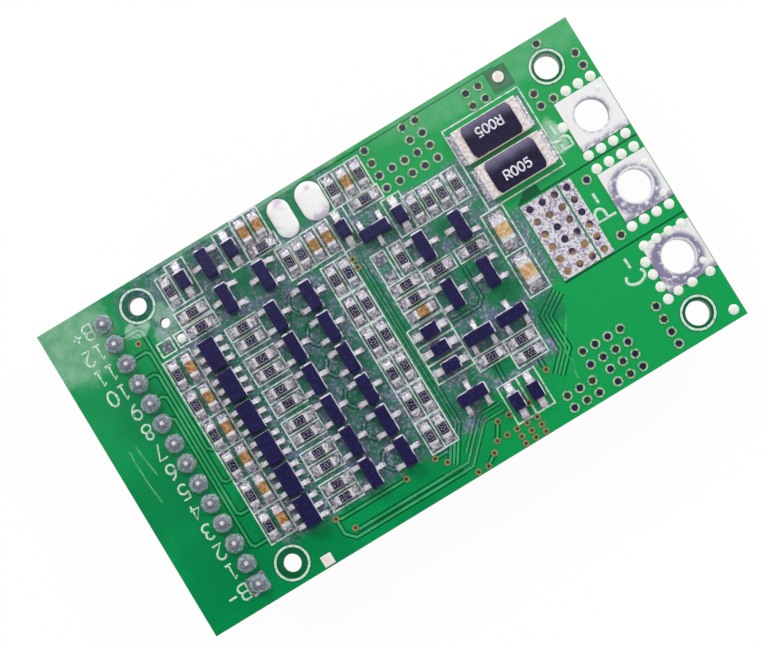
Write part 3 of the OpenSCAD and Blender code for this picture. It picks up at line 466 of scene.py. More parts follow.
@dataclass(frozen=True)
class PadSolder(Finish):
    """Thick solder of a wire terminal: white at its corners, with lilac painted shade in the trough round its
    hole.

    The solder drew back from the hole as it froze and left a trough. Lilac painted shade lies in it, widest
    at the pad's lower left, and in a band along the lower edge.
    """

    centre_mm: tuple[float, float] = (24.2, -0.55)
    # The trough's inner and outer radius, and how far its outer border leans off the centre
    trough_mm: tuple[float, float] = (1.62, 2.3)
    lean_mm: tuple[float, float] = (-0.15, -0.2)
    # Where each border starts and ends, from its radius
    inner_soft_mm: tuple[float, float] = (-0.05, 0.15)
    outer_soft_mm: tuple[float, float] = (0.25, -0.3)
    # Where the band of painted shade starts and ends, from the centre
    band_mm: tuple[float, float] = (-1.7, -2.25)
    # The strengths of the painted shade in the trough and in the band along the lower edge
    trough: float = 0.9
    edge: float = 0.8

    def blotches(self, tree: bpy.types.NodeTree, place: bpy.types.NodeSocket) -> bpy.types.NodeSocket:
        """Keeps the mottle, which here is painted lilac shade, to the trough and to the band along the lower
        edge.

        Args:
            tree: The material's node tree.
            place: Object coordinates in metres.

        Returns:
            The share of the mottle at each spot of the surface.
        """
        x, y = self.centre_mm
        flat = add_node(tree, "VectorMath", {"operation": "MULTIPLY"}, {0: place, 1: (1.0, 1.0, 0.0)})
        trough = self.trough
        for lean, radius, soft in (((0.0, 0.0), self.trough_mm[0], self.inner_soft_mm),
                                   (self.lean_mm, self.trough_mm[1], self.outer_soft_mm)):
            away = add_node(tree, "VectorMath", {"operation": "DISTANCE"}, {
                0: flat, 1: ((x + lean[0]) * MM, (y + lean[1]) * MM, 0.0)})
            trough = add_node(tree, "MapRange", SMOOTH, {
                "Value": away.outputs["Value"], "From Min": (radius + soft[0]) * MM,
                "From Max": (radius + soft[1]) * MM, "To Max": trough})
        axes = add_node(tree, "SeparateXYZ", None, {0: place})
        shade_band = add_node(tree, "MapRange", SMOOTH, {
            "Value": axes.outputs[1], "From Min": (y + self.band_mm[0]) * MM,
            "From Max": (y + self.band_mm[1]) * MM, "To Max": self.edge})
        # Painted shade in the trough and along the lower edge
        dull = add_node(tree, "Math", {"operation": "MAXIMUM"}, {0: trough, 1: shade_band})
        return add_node(tree, "Math", {"operation": "MULTIPLY"}, {
            0: dull, 1: super().blotches(tree, place)}).outputs[0]


@dataclass(frozen=True)
class JointSolder(Finish):
    """Wave soldered joint: a bright foot, then a dark ring and a lilac crown, drawn by the distance from each
    pin.
    """

    ring: str = "#54506a"
    crown: str = "#a39db0"
    # The radius of each, the softness of its border, and its strength
    ring_mm: tuple[float, float] = (0.58, 0.14)
    ring_amount: float = 0.7
    crown_mm: tuple[float, float] = (0.36, 0.12)
    crown_amount: float = 0.75
    wobble_mm: tuple[float, float] = (0.35, 0.14)
    first_pin_mm: tuple[float, float] = (-21.2, 13.0)
    pitch_mm: float = 2.0

    def colour(self, tree: bpy.types.NodeTree, place: bpy.types.NodeSocket) -> bpy.types.NodeSocket:
        """Lays the ring and the crown round each pin of the row.

        Args:
            tree: The material's node tree.
            place: Object coordinates in metres.

        Returns:
            The socket that carries the colour.
        """
        axes = add_node(tree, "SeparateXYZ", None, {0: wobbled(tree, place, *self.wobble_mm)})
        across, row = (
            add_node(tree, "Math", {"operation": "SUBTRACT"}, {0: axes.outputs[i], 1: pin * MM})
            for i, pin in enumerate(self.first_pin_mm))
        along = add_node(tree, "Math", {"operation": "WRAP"}, {
            0: row, 1: self.pitch_mm * MM / 2, 2: -self.pitch_mm * MM / 2})
        spot = add_node(tree, "CombineXYZ", None, {0: across, 1: along})
        away = add_node(tree, "VectorMath", {"operation": "LENGTH"}, {0: spot})
        layers = []
        for hex_colour, (radius, soft), amount in (
                (self.ring, self.ring_mm, self.ring_amount), (self.crown, self.crown_mm, self.crown_amount)):
            share = add_node(tree, "MapRange", SMOOTH, {
                "Value": away.outputs["Value"], "From Min": (radius + soft) * MM,
                "From Max": (radius - soft) * MM, "To Max": amount})
            layers.append((hex_colour, (share,)))
        return overlaid(tree, super().colour(tree, place), layers)


@dataclass(frozen=True)
class SheenGlaze(Finish):
    """Black overglaze of a current shunt, which catches a lilac sheen along its upper edge."""

    sheen: str = "#8d86a6"
    # The lower shunt's lower edge, and the distance from one shunt to the next
    first_mm: float = 4.6
    step_mm: float = 3.64
    # Where the sheen starts and is full, as shares of that distance
    sheen_from: float = 0.5
    sheen_to: float = 0.95
    sheen_amount: float = 0.85
    wave_mm: float = 1.2
    waver_mm: float = 1.0

    def colour(self, tree: bpy.types.NodeTree, place: bpy.types.NodeSocket) -> bpy.types.NodeSocket:
        """Lays the sheen over the glaze, once for each shunt.

        Args:
            tree: The material's node tree.
            place: Object coordinates in metres.

        Returns:
            The socket that carries the colour.
        """
        axes = add_node(tree, "SeparateXYZ", None, {0: place})
        waves = add_node(tree, "TexNoise", None, {
            "Vector": place, "Scale": per_metre(self.wave_mm), "Detail": 2.0})
        wavy = add_node(tree, "Math", {"operation": "MULTIPLY_ADD"}, {
            0: waves, 1: self.waver_mm * MM, 2: axes.outputs[1]})
        offset = add_node(tree, "Math", {"operation": "SUBTRACT"}, {
            0: wavy, 1: (self.first_mm + self.waver_mm / 2) * MM})
        steps = add_node(tree, "Math", {"operation": "DIVIDE"}, {0: offset, 1: self.step_mm * MM})
        share = add_node(tree, "Math", {"operation": "FRACT"}, {0: steps})
        sheen = add_node(tree, "MapRange", SMOOTH, {
            "Value": share, "From Min": self.sheen_from, "From Max": self.sheen_to,
            "To Max": self.sheen_amount})
        return overlaid(tree, super().colour(tree, place), [(self.sheen, (sheen,))])


@dataclass(frozen=True)
class CoatedCompound(Finish):
    """Moulding compound under the clear coat.

    A pale lilac painted highlight lies where the packages' rounded edges and flanks face the board's right
    and upper end.
    """

    # Pale lilac of the painted highlight
    milk: str = "#dfd9ec"
    milk_amount: float = 0.95
    # How far a face has to look right or up the board, and how far off the board, to carry the painted
    # highlight
    facing: tuple[float, float] = (0.2, 0.34)
    lifting: tuple[float, float] = (0.02, 0.08)
    breaks: Patches = Patches(0.7, (0.38, 0.52))

    def colour(self, tree: bpy.types.NodeTree, place: bpy.types.NodeSocket) -> bpy.types.NodeSocket:
        """Lays the painted highlight on the rounded edges and the drafted flanks below them.

        Args:
            tree: The material's node tree.
            place: Object coordinates in metres.

        Returns:
            The socket that carries the colour.
        """
        geometry = add_node(tree, "NewGeometry")
        normal = add_node(tree, "SeparateXYZ", None, {0: geometry.outputs["Normal"]})
        right, back, above = (
            add_node(tree, "MapRange", SMOOTH, {
                "Value": normal.outputs[axis], "From Min": start, "From Max": end})
            for axis, (start, end) in enumerate((self.facing, self.facing, self.lifting)))
        side = add_node(tree, "Math", {"operation": "MAXIMUM"}, {0: right, 1: back})
        factors = (side, above, self.breaks.build(tree, place), self.milk_amount)
        # Painted highlight on the edges and flanks that face right and up the board
        return overlaid(tree, super().colour(tree, place), [(self.milk, factors)])


class Finishes(Enum):
    """The finishes of the board's pieces, each as its real material shows it."""

    # Green solder mask over a copper pour, screen printed and cured: glossy, with slow clouds
    MASK = SolderMask(
        "solder_mask", "#008b4c", "#029a55", 7.0, 0.24, grain_mm=0.3, bump_mm=0.003, spread=0.05, coat=0.1,
        specular=0.3)
    # Laminate below the mask where there is no copper: a darker, bluer green
    LAMINATE = Laminate(
        "laminate", "#036238", "#067042", 3.0, 0.3, grain_mm=0.3, bump_mm=0.003, spread=0.05, coat=0.1,
        specular=0.3, bright="#0a643c", haze="#3a4a66", speck="#8089a0", haze_amount=0.7)
    # The mask in the gaps beside the fine tracks, as dark as over the laminate
    GAP_MASK = SolderMask(
        "gap_mask", "#036238", "#067042", 3.0, 0.3, grain_mm=0.3, bump_mm=0.001, spread=0.05, coat=0.1,
        specular=0.3, bright="#0a643c", haze="#3a4a66", speck="#8089a0", haze_amount=0.7)
    # The mask over a raised copper line, which shows lighter through it where no flux lies on it
    MASKED_COPPER = SolderMask(
        "masked_copper", "#2aa862", "#44b878", 3.0, 0.26, grain_mm=0.3, bump_mm=0.003, spread=0.05, coat=0.2,
        specular=0.3, bright="#2fb468", haze_amount=0.6)
    # Solder drawn up against the parts' ends: brighter than the lands
    BRIGHT_FILLET = Finish(
        "bright_fillet", "#a29fb0", "#f2eff4", 0.25, 0.38, grain_mm=0.08, bump_mm=0.014, metallic=0.2,
        mottle_from=0.42, mottle_to=0.6, coat=0.3)
    # Hot air levelled solder, reflowed: frosty, blotched grey with white sparkle
    FROSTY_SOLDER = Finish(
        "frosty_solder", "#77788d", "#dbd9e4", 0.3, 0.4, grain_mm=0.08, bump_mm=0.02, metallic=0.45,
        mottle_from=0.44, mottle_to=0.62, coat=0.3)
    # Thick solder of the three wire terminals: nearly white, with lilac painted shade in the trough round the
    # hole and along the lower edge
    BATTERY_SOLDER = PadSolder(
        "battery_solder", "#fcfbfd", "#968eae", 0.3, 0.4, grain_mm=0.12, bump_mm=0.01, metallic=0.05,
        mottle_from=0.3, mottle_to=0.6, centre_mm=(24.2, 6.6), lean_mm=(0.0, 0.0),
        trough_mm=(1.3, 1.58), trough=1.0)
    PACK_SOLDER = PadSolder(
        "pack_solder", "#fcfbfe", "#80789f", 0.4, 0.4, grain_mm=0.12, bump_mm=0.012, metallic=0.1,
        mottle_from=0.28, mottle_to=0.52, lean_mm=(-0.25, -0.3), trough_mm=(1.6, 2.25))
    CHARGE_SOLDER = PadSolder(
        "charge_solder", "#fbfafd", "#79719a", 0.4, 0.4, grain_mm=0.12, bump_mm=0.012, metallic=0.1,
        mottle_from=0.26, mottle_to=0.5, centre_mm=(24.2, -7.7), lean_mm=(-0.25, -0.2), trough_mm=(1.53, 2.4))
    # The same solder, wiped thin over the heat vias: finely mottled lilac
    MOTTLED_SOLDER = Finish(
        "mottled_solder", "#f0edf3", "#a298b4", 0.22, 0.42, grain_mm=0.1, bump_mm=0.014, metallic=0.15,
        mottle_from=0.42, mottle_to=0.62, coat=0.2)
    # Solder levelled over the wide drain pour: smooth, with slow waves
    POUR_SOLDER = Finish(
        "pour_solder", "#bcbcc8", "#d6d5de", 2.2, 0.34, grain_mm=0.15, bump_mm=0.006, metallic=0.5)
    # Solder frozen in full domes: white with a faint green cast from the mask round it
    DOMED_SOLDER = Finish(
        "domed_solder", "#fdfffa", "#f0f9ec", 0.4, 0.4, grain_mm=0.15, bump_mm=0.004, coat=0.2)
    # Solder heaped on the sensor pads: white and smooth, with lilac painted shade in slow patches
    HEAPED_SOLDER = Finish(
        "heaped_solder", "#fffefe", "#dccbe2", 1.7, 0.4, grain_mm=0.3, bump_mm=0.006, mottle_from=0.5,
        mottle_to=0.66, coat=0.1)
    # Wave soldered joints of the header: dull lilac grey cones, blotched by flux
    WAVE_SOLDER = JointSolder(
        "wave_solder", "#748f98", "#c4d7d5", 0.2, 0.5, grain_mm=0.1, bump_mm=0.014, metallic=0.2,
        mottle_from=0.42, mottle_to=0.62, coat=0.15, coat_roughness=0.25)
    # Printed epoxy ink: white with a mint tint where it is thin
    LEGEND_INK = Finish(
        "legend_ink", "#d9f0e3", "#8fc9a8", 0.25, 0.55, grain_mm=0.05, bump_mm=0.003, mottle_from=0.5,
        mottle_to=0.68)
    # The same ink in the parts' frames, dulled by the flux over it
    WORN_INK = Finish(
        "worn_ink", "#e0efe8", "#94bea9", 0.35, 0.55, grain_mm=0.05, bump_mm=0.003, mottle_from=0.46,
        mottle_to=0.68)
    # The thin grey marking of a chip resistor
    VALUE_INK = Finish("value_ink", "#a8a5b8", "#77738c", 0.15, 0.5, grain_mm=0.05, bump_mm=0.002)
    # Unfilled nylon 66, moulded: ivory, slightly waxy
    IVORY_NYLON = Finish("ivory_nylon", "#efe8d6", "#e4dbc4", 4.0, 0.45, grain_mm=0.2, bump_mm=0.006)
    # Electroplated tin on a drawn pin
    PLATED_PIN = Finish(
        "plated_pin", "#f4f2f3", "#ffffff", 0.5, 0.3, grain_mm=0.06, bump_mm=0.002, metallic=0.3)
    # Immersion gold on copper: a thin warm wash
    GOLD_WASH = Finish("gold_wash", "#b9a676", "#8f9a62", 0.3, 0.35, grain_mm=0.08, metallic=0.4, coat=0.2)
    # Levelled solder on the lands of the power vias, thin enough to look olive
    VIA_SOLDER = Finish(
        "via_solder", "#b9d2b0", "#4aa564", 0.22, 0.4, grain_mm=0.08, metallic=0.1, mottle_from=0.44,
        mottle_to=0.62, coat=0.2)
    # Resin and solder in the power vias: dark violet blue, some of it brown or green
    VIOLET_RESIN = Finish(
        "violet_resin", "#1f1c4a", "#363a30", 1.3, 0.35, grain_mm=0.1, bump_mm=0.006, mottle_from=0.5,
        mottle_to=0.56, coat=0.4)
    # Resin and flux in the heat vias: brown, tan and dark blue from via to via
    BROWN_RESIN = Finish(
        "brown_resin", "#33284e", "#a8875c", 1.5, 0.4, grain_mm=0.1, bump_mm=0.006, mottle_from=0.44,
        mottle_to=0.58, coat=0.3)
    # Dried resin in the signal vias: dull brown
    DULL_RESIN = Finish("dull_resin", "#5a4228", "#3f3a24", 1.0, 0.5, grain_mm=0.1, bump_mm=0.004)
    # Bare plated copper spot: warm white
    CREAM_PLATE = Finish(
        "cream_plate", "#fffdf8", "#f7e9e3", 0.6, 0.35, grain_mm=0.08)
    # Epoxy moulding compound under the clear coat: violet black, finely sparked, with a painted highlight on
    # its right and upper edges
    MOULD_COMPOUND = CoatedCompound(
        "mould_compound", "#191446", "#2b255e", 0.3, 0.36, grain_mm=0.06, bump_mm=0.008, coat=0.3,
        coat_roughness=0.15, specular=0.3, mottle_from=0.5, mottle_to=0.7)
    # The same compound, uncoated, on the big packages of the underside
    MATT_COMPOUND = Finish(
        "matt_compound", "#1b1b1e", "#26262a", 0.2, 0.55, grain_mm=0.06, bump_mm=0.008)
    # Matt tin on a stamped lead frame, under clear coat
    MATT_TIN = Finish(
        "matt_tin", "#e6e1ea", "#fffdff", 0.2, 0.34, grain_mm=0.06, bump_mm=0.008, metallic=0.15, coat=0.2)
    # Sintered alumina: white, very fine
    ALUMINA = Finish("alumina", "#e8e4dc", "#d9d2c6", 0.5, 0.5, grain_mm=0.04, bump_mm=0.003)
    # Black overglaze on a resistor: smooth, a little uneven
    BLACK_GLAZE = Finish(
        "black_glaze", "#191533", "#302a50", 0.5, 0.3, grain_mm=0.1, bump_mm=0.006, coat=0.4)
    # The same glaze on a shunt, domed and glossier
    SHUNT_GLAZE = SheenGlaze(
        "shunt_glaze", "#120c30", "#241c48", 0.4, 0.3, grain_mm=0.1, bump_mm=0.006, coat=0.1,
        specular=0.3, mottle_from=0.5, mottle_to=0.7)
    # Screened white epoxy marking on a shunt
    WHITE_INK = Finish("white_ink", "#f6f3fa", "#d9d5e2", 0.2, 0.5, grain_mm=0.05, bump_mm=0.002)
    # Plated end of a chip part with reflowed solder on it
    CHIP_END = Finish(
        "chip_end", "#dcdae0", "#fdfafa", 0.3, 0.34, grain_mm=0.08, bump_mm=0.008, metallic=0.25, coat=0.3)
    # Cream, tin-dipped end of a current shunt
    SHUNT_END = Finish(
        "shunt_end", "#dcd0cc", "#fbf3f2", 0.3, 0.42, grain_mm=0.1, bump_mm=0.012, metallic=0.05, coat=0.2)
    # Barium titanate ceramic: orange tan, faintly speckled
    TAN_CERAMIC = Finish(
        "tan_ceramic", "#94693a", "#c89c66", 0.3, 0.42, grain_mm=0.05, bump_mm=0.004, coat=0.3)
    # The same ceramic in the two bulk capacitors, a paler batch
    PALE_CERAMIC = Finish(
        "pale_ceramic", "#c99a68", "#e4c69c", 0.4, 0.42, grain_mm=0.05, bump_mm=0.004, coat=0.3)
    # Dried edge of the sprayed clear coat, milky over the green
    CLEAR_COAT = Finish(
        "clear_coat", "#5fbd82", "#2fa55e", 0.8, 0.25, grain_mm=0.3, bump_mm=0.004, coat=0.2)


NODE_FINISHES: dict[str, Finishes] = {
    "board": Finishes.LAMINATE,
    "copper_pours": Finishes.MASK,
    "top_tracks": Finishes.MASKED_COPPER,
    "underside_tracks": Finishes.MASKED_COPPER,
    "component_lands": Finishes.FROSTY_SOLDER,
    "solder_fillets": Finishes.BRIGHT_FILLET,
    "legend_frames": Finishes.WORN_INK,
    "legend_rings": Finishes.LEGEND_INK,
    "pin_lands": Finishes.FROSTY_SOLDER,
    "pin_solder_joints": Finishes.WAVE_SOLDER,
    "header_housing": Finishes.IVORY_NYLON,
    "header_pins": Finishes.PLATED_PIN,
    "signal_vias": Finishes.GOLD_WASH,
    "signal_via_plugs": Finishes.DULL_RESIN,
    "power_vias": Finishes.VIA_SOLDER,
    "power_via_plugs": Finishes.VIOLET_RESIN,
    "heat_via_block": Finishes.MOTTLED_SOLDER,
    "heat_via_plugs": Finishes.BROWN_RESIN,
    "battery_negative_pad": Finishes.BATTERY_SOLDER,
    "pack_negative_pad": Finishes.PACK_SOLDER,
    "charge_negative_pad": Finishes.CHARGE_SOLDER,
    "solder_dots": Finishes.DOMED_SOLDER,
    "sensor_pads": Finishes.HEAPED_SOLDER,
    "fiducials": Finishes.CREAM_PLATE,
    "monitor_chip_bodies": Finishes.MOULD_COMPOUND,
    "monitor_chip_leads": Finishes.MATT_TIN,
    "transistor_bodies": Finishes.MOULD_COMPOUND,
    "transistor_leads": Finishes.MATT_TIN,
    "diode_bodies": Finishes.MOULD_COMPOUND,
    "diode_leads": Finishes.MATT_TIN,
    "resistor_ceramics": Finishes.ALUMINA,
    "resistor_coats": Finishes.BLACK_GLAZE,
    "resistor_end_caps": Finishes.CHIP_END,
    "capacitor_bodies": Finishes.TAN_CERAMIC,
    "capacitor_end_caps": Finishes.CHIP_END,
    "bulk_capacitor_bodies": Finishes.PALE_CERAMIC,
    "bulk_capacitor_end_caps": Finishes.CHIP_END,
    "shunt_bodies": Finishes.ALUMINA,
    "shunt_coats": Finishes.SHUNT_GLAZE,
    "shunt_end_caps": Finishes.SHUNT_END,
    "drain_pour": Finishes.POUR_SOLDER,
    "power_lead_lands": Finishes.FROSTY_SOLDER,
    "power_transistor_bodies": Finishes.MATT_COMPOUND,
    "power_transistor_tabs": Finishes.MATT_TIN,
    "power_transistor_leads": Finishes.MATT_TIN,
    "power_solder_fillets": Finishes.FROSTY_SOLDER,
}

# Nodes whose edges are worn or rounded, with the width of the rounding in millimetres
SOFT_EDGES_MM: dict[str, float] = {
    "monitor_chip_bodies": 0.18,
    "transistor_bodies": 0.18,
    "diode_bodies": 0.14,
    "resistor_end_caps": 0.035,
    "capacitor_bodies": 0.03,
    "capacitor_end_caps": 0.05,
    "bulk_capacitor_bodies": 0.04,
    "bulk_capacitor_end_caps": 0.06,
    "shunt_end_caps": 0.05,
    "header_housing": 0.12,
    "power_transistor_bodies": 0.08,
}
EDGE_SEGMENTS = 3
# The least angle between two faces at which their edge is rounded
EDGE_ANGLE_DEG = 25
# Vertices closer than this are merged, by the weld modifier and in a copy of a node
WELD_M = 1e-7
MERGE_M = 1e-6
# Points closer than this close a stroke
SAME_SPOT_M = 1e-7


def soften_edges(nodes: dict[str, bpy.types.Object]) -> None:
    """Rounds the edges of moulded, fired and dipped pieces, which is what makes them glint.

    Args:
        nodes: The frame's nodes, by name.
    """
    for name, width_mm in SOFT_EDGES_MM.items():
        weld = nodes[name].modifiers.new("weld", "WELD")
        weld.merge_threshold = WELD_M
        bevel = nodes[name].modifiers.new("soft_edges", "BEVEL")
        bevel.width = width_mm * MM
        bevel.segments = EDGE_SEGMENTS
        bevel.limit_method = "ANGLE"
        bevel.angle_limit = math.radians(EDGE_ANGLE_DEG)
        LOG.info("%s has its edges rounded by %.3f mm", name, width_mm)


class Paintshop:
    """Builds each finish once and gives it to nodes and pieces."""

    def __init__(self) -> None:
        """Starts with no material built."""
        self.built: dict[Finishes, bpy.types.Material] = {}

    def material(self, finish: Finishes) -> bpy.types.Material:
        """Gives the material of a finish, and builds it at its first use.

        Args:
            finish: The finish that is asked for.

        Returns:
            Its one material.
        """
        if finish not in self.built:
            self.built[finish] = finish.value.build()
        return self.built[finish]

    def dress(self, obj: bpy.types.Object, finish: Finishes) -> None:
        """Puts a finish on every face of an object.

        Args:
            obj: The node or piece.
            finish: The finish that it gets.
        """
        obj.data.materials.clear()
        obj.data.materials.append(self.material(finish))

    def dress_nodes(self, nodes: dict[str, bpy.types.Object]) -> None:
        """Puts its finish on each node of the frame.

        Args:
            nodes: The frame's nodes, by name.
        """
        for name, node in nodes.items():
            self.dress(node, NODE_FINISHES[name])
            LOG.info("%s is dressed in %s", name, NODE_FINISHES[name].value.name)


def solids_of(node: bpy.types.Object) -> list[tuple[Vector, Vector]]:
    """Finds the separate solids of a node.

    Args:
        node: A node whose solids don't touch each other.

    Returns:
        The lowest and highest corner of each solid, in the order of the node's mesh.
    """
    copy = bmesh.new()
    copy.from_mesh(node.data)
    bmesh.ops.remove_doubles(copy, verts=copy.verts, dist=MERGE_M)
    seen: set[bmesh.types.BMVert] = set()
    found = []
    for start in copy.verts:
        if start in seen:
            continue
        low, high = start.co.copy(), start.co.copy()
        seen.add(start)
        front = [start]
        while front:
            vert = front.pop()
            low = Vector(map(min, low, vert.co))
            high = Vector(map(max, high, vert.co))
            for edge in vert.link_edges:
                other = edge.other_vert(vert)
                if other not in seen:
                    seen.add(other)
                    front.append(other)
        found.append((low, high))
    copy.free()
    return found


def round_stroke(
    centre: tuple[float, float], radii: tuple[float, float], start: float, end: float, steps: int = 10
) -> list[tuple[float, float]]:
    """Points along a part of an ellipse.

    Args:
        centre: The ellipse's centre.
        radii: Its radii along x and y.
        start: The first point's angle in degrees.
        end: The last point's angle in degrees.
        steps: The number of lines between the points.

    Returns:
        The points in order.
    """
    angles = [math.radians(start + (end - start) * i / steps) for i in range(steps + 1)]
    return [(centre[0] + radii[0] * math.cos(a), centre[1] + radii[1] * math.sin(a)) for a in angles]


# Characters as pen strokes in a cell that is 0.6 wide and 1 high, as a plotter font draws them
GLYPHS: dict[str, list[list[tuple[float, float]]]] = {
    "0": [round_stroke((0.3, 0.5), (0.3, 0.5), 0, 360, 16)],
    "1": [[(0.12, 0.82), (0.32, 1), (0.32, 0)], [(0.1, 0), (0.54, 0)]],
    "2": [round_stroke((0.3, 0.7), (0.28, 0.3), 165, -35) + [(0.02, 0), (0.6, 0)]],
    "3": [round_stroke((0.28, 0.76), (0.26, 0.24), 150, -90)
          + round_stroke((0.28, 0.26), (0.3, 0.26), 90, -150)],
    "4": [[(0.45, 0), (0.45, 1), (0, 0.3), (0.6, 0.3)]],
    "5": [[(0.55, 1), (0.08, 1), (0.04, 0.56)] + round_stroke((0.28, 0.32), (0.3, 0.32), 130, -150)],
    "6": [round_stroke((0.3, 0.3), (0.28, 0.3), 0, 360, 14),
          round_stroke((0.62, 0.3), (0.6, 0.7), 180, 100, 6)],
    "7": [[(0, 1), (0.6, 1), (0.2, 0)]],
    "8": [round_stroke((0.3, 0.76), (0.23, 0.24), 0, 360, 12),
          round_stroke((0.3, 0.26), (0.3, 0.26), 0, 360, 14)],
    "9": [round_stroke((0.3, 0.7), (0.28, 0.3), 0, 360, 14),
          round_stroke((-0.02, 0.7), (0.6, 0.7), 0, -80, 6)],
    "B": [[(0.35, 0.52), (0, 0.52), (0, 1)] + round_stroke((0.35, 0.76), (0.2, 0.24), 90, -90, 8)
          + round_stroke((0.35, 0.26), (0.25, 0.26), 90, -90, 8) + [(0, 0), (0, 0.52)]],
    "C": [round_stroke((0.34, 0.5), (0.34, 0.5), 50, 310, 14)],
    "P": [[(0, 0), (0, 1)] + round_stroke((0.32, 0.73), (0.28, 0.27), 90, -90) + [(0, 0.46)]],
    "R": [[(0, 0), (0, 1)] + round_stroke((0.32, 0.73), (0.28, 0.27), 90, -90) + [(0, 0.46)],
          [(0.3, 0.46), (0.6, 0)]],
    "+": [[(0.02, 0.5), (0.58, 0.5)], [(0.3, 0.22), (0.3, 0.78)]],
    "-": [[(0.02, 0.5), (0.58, 0.5)]],
}
CELL_WIDTH = 0.6
CELL_STEP = 0.82


@dataclass
class Print:
    """Characters or lines laid as raised, round-ended strokes on a flat face."""

    name: str
    stroke_mm: float
    proud_mm: float
    strokes: list[list[Vector]] = field(default_factory=list)

    def write(self, text: str, centre: Vector, height_mm: float, turn_deg: float) -> None:
        """Adds a line of characters.

        Args:
            text: The characters.
            centre: The line's centre on the face, in metres.
            height_mm: The height of a character.
            turn_deg: How far the line is turned about the vertical.
        """
        size = height_mm * MM
        width = (CELL_STEP * (len(text) - 1) + CELL_WIDTH) * size
        turn = Matrix.Rotation(math.radians(turn_deg), 4, "Z")
        for index, character in enumerate(text):
            left = index * CELL_STEP * size - width / 2
            for stroke in GLYPHS[character]:
                self.strokes.append([
                    centre + turn @ Vector((left + x * size, y * size - size / 2, 0)) for x, y in stroke])

    def trace(self, path_mm: tuple[tuple[float, float], ...], level: float) -> None:
        """Adds an open line.

        Args:
            path_mm: The line's corners in x and y, in millimetres.
            level: The height of the face, in metres.
        """
        self.strokes.append([Vector((x * MM, y * MM, level)) for x, y in path_mm])

    def build(self) -> bpy.types.Object:
        """Turns the strokes into one mesh of flattened round-ended lines.

        Returns:
            The piece, with its place in its mesh.
        """
        curve = bpy.data.curves.new(self.name, "CURVE")
        curve.dimensions = "3D"
        curve.bevel_depth = self.stroke_mm * MM / 2
        curve.bevel_resolution = 1
        curve.use_fill_caps = True
        level = self.strokes[0][0].z
        for points in self.strokes:
            spline = curve.splines.new("POLY")
            closed = (points[0] - points[-1]).length < SAME_SPOT_M
            kept = points[:-1] if closed else points
            spline.points.add(len(kept) - 1)
            for target, point in zip(spline.points, kept):
                target.co = (point.x, point.y, 0, 1)
            spline.use_cyclic_u = closed
        source = bpy.data.objects.new(self.name + "_strokes", curve)
        bpy.context.scene.collection.objects.link(source)
        bpy.context.view_layer.update()
        mesh = bpy.data.meshes.new_from_object(source.evaluated_get(bpy.context.evaluated_depsgraph_get()))
        bpy.data.objects.remove(source)
        flatten = self.proud_mm / (self.stroke_mm / 2)
        shape = bmesh.new()
        shape.from_mesh(mesh)
        bmesh.ops.scale(shape, vec=(1, 1, flatten), verts=shape.verts)
        bmesh.ops.translate(shape, vec=(0, 0, level), verts=shape.verts)
        bmesh.ops.recalc_face_normals(shape, faces=shape.faces)
        shape.to_mesh(mesh)
        shape.free()
        mesh.name = self.name
        piece = bpy.data.objects.new(self.name, mesh)
        bpy.context.scene.collection.objects.link(piece)
        return piece


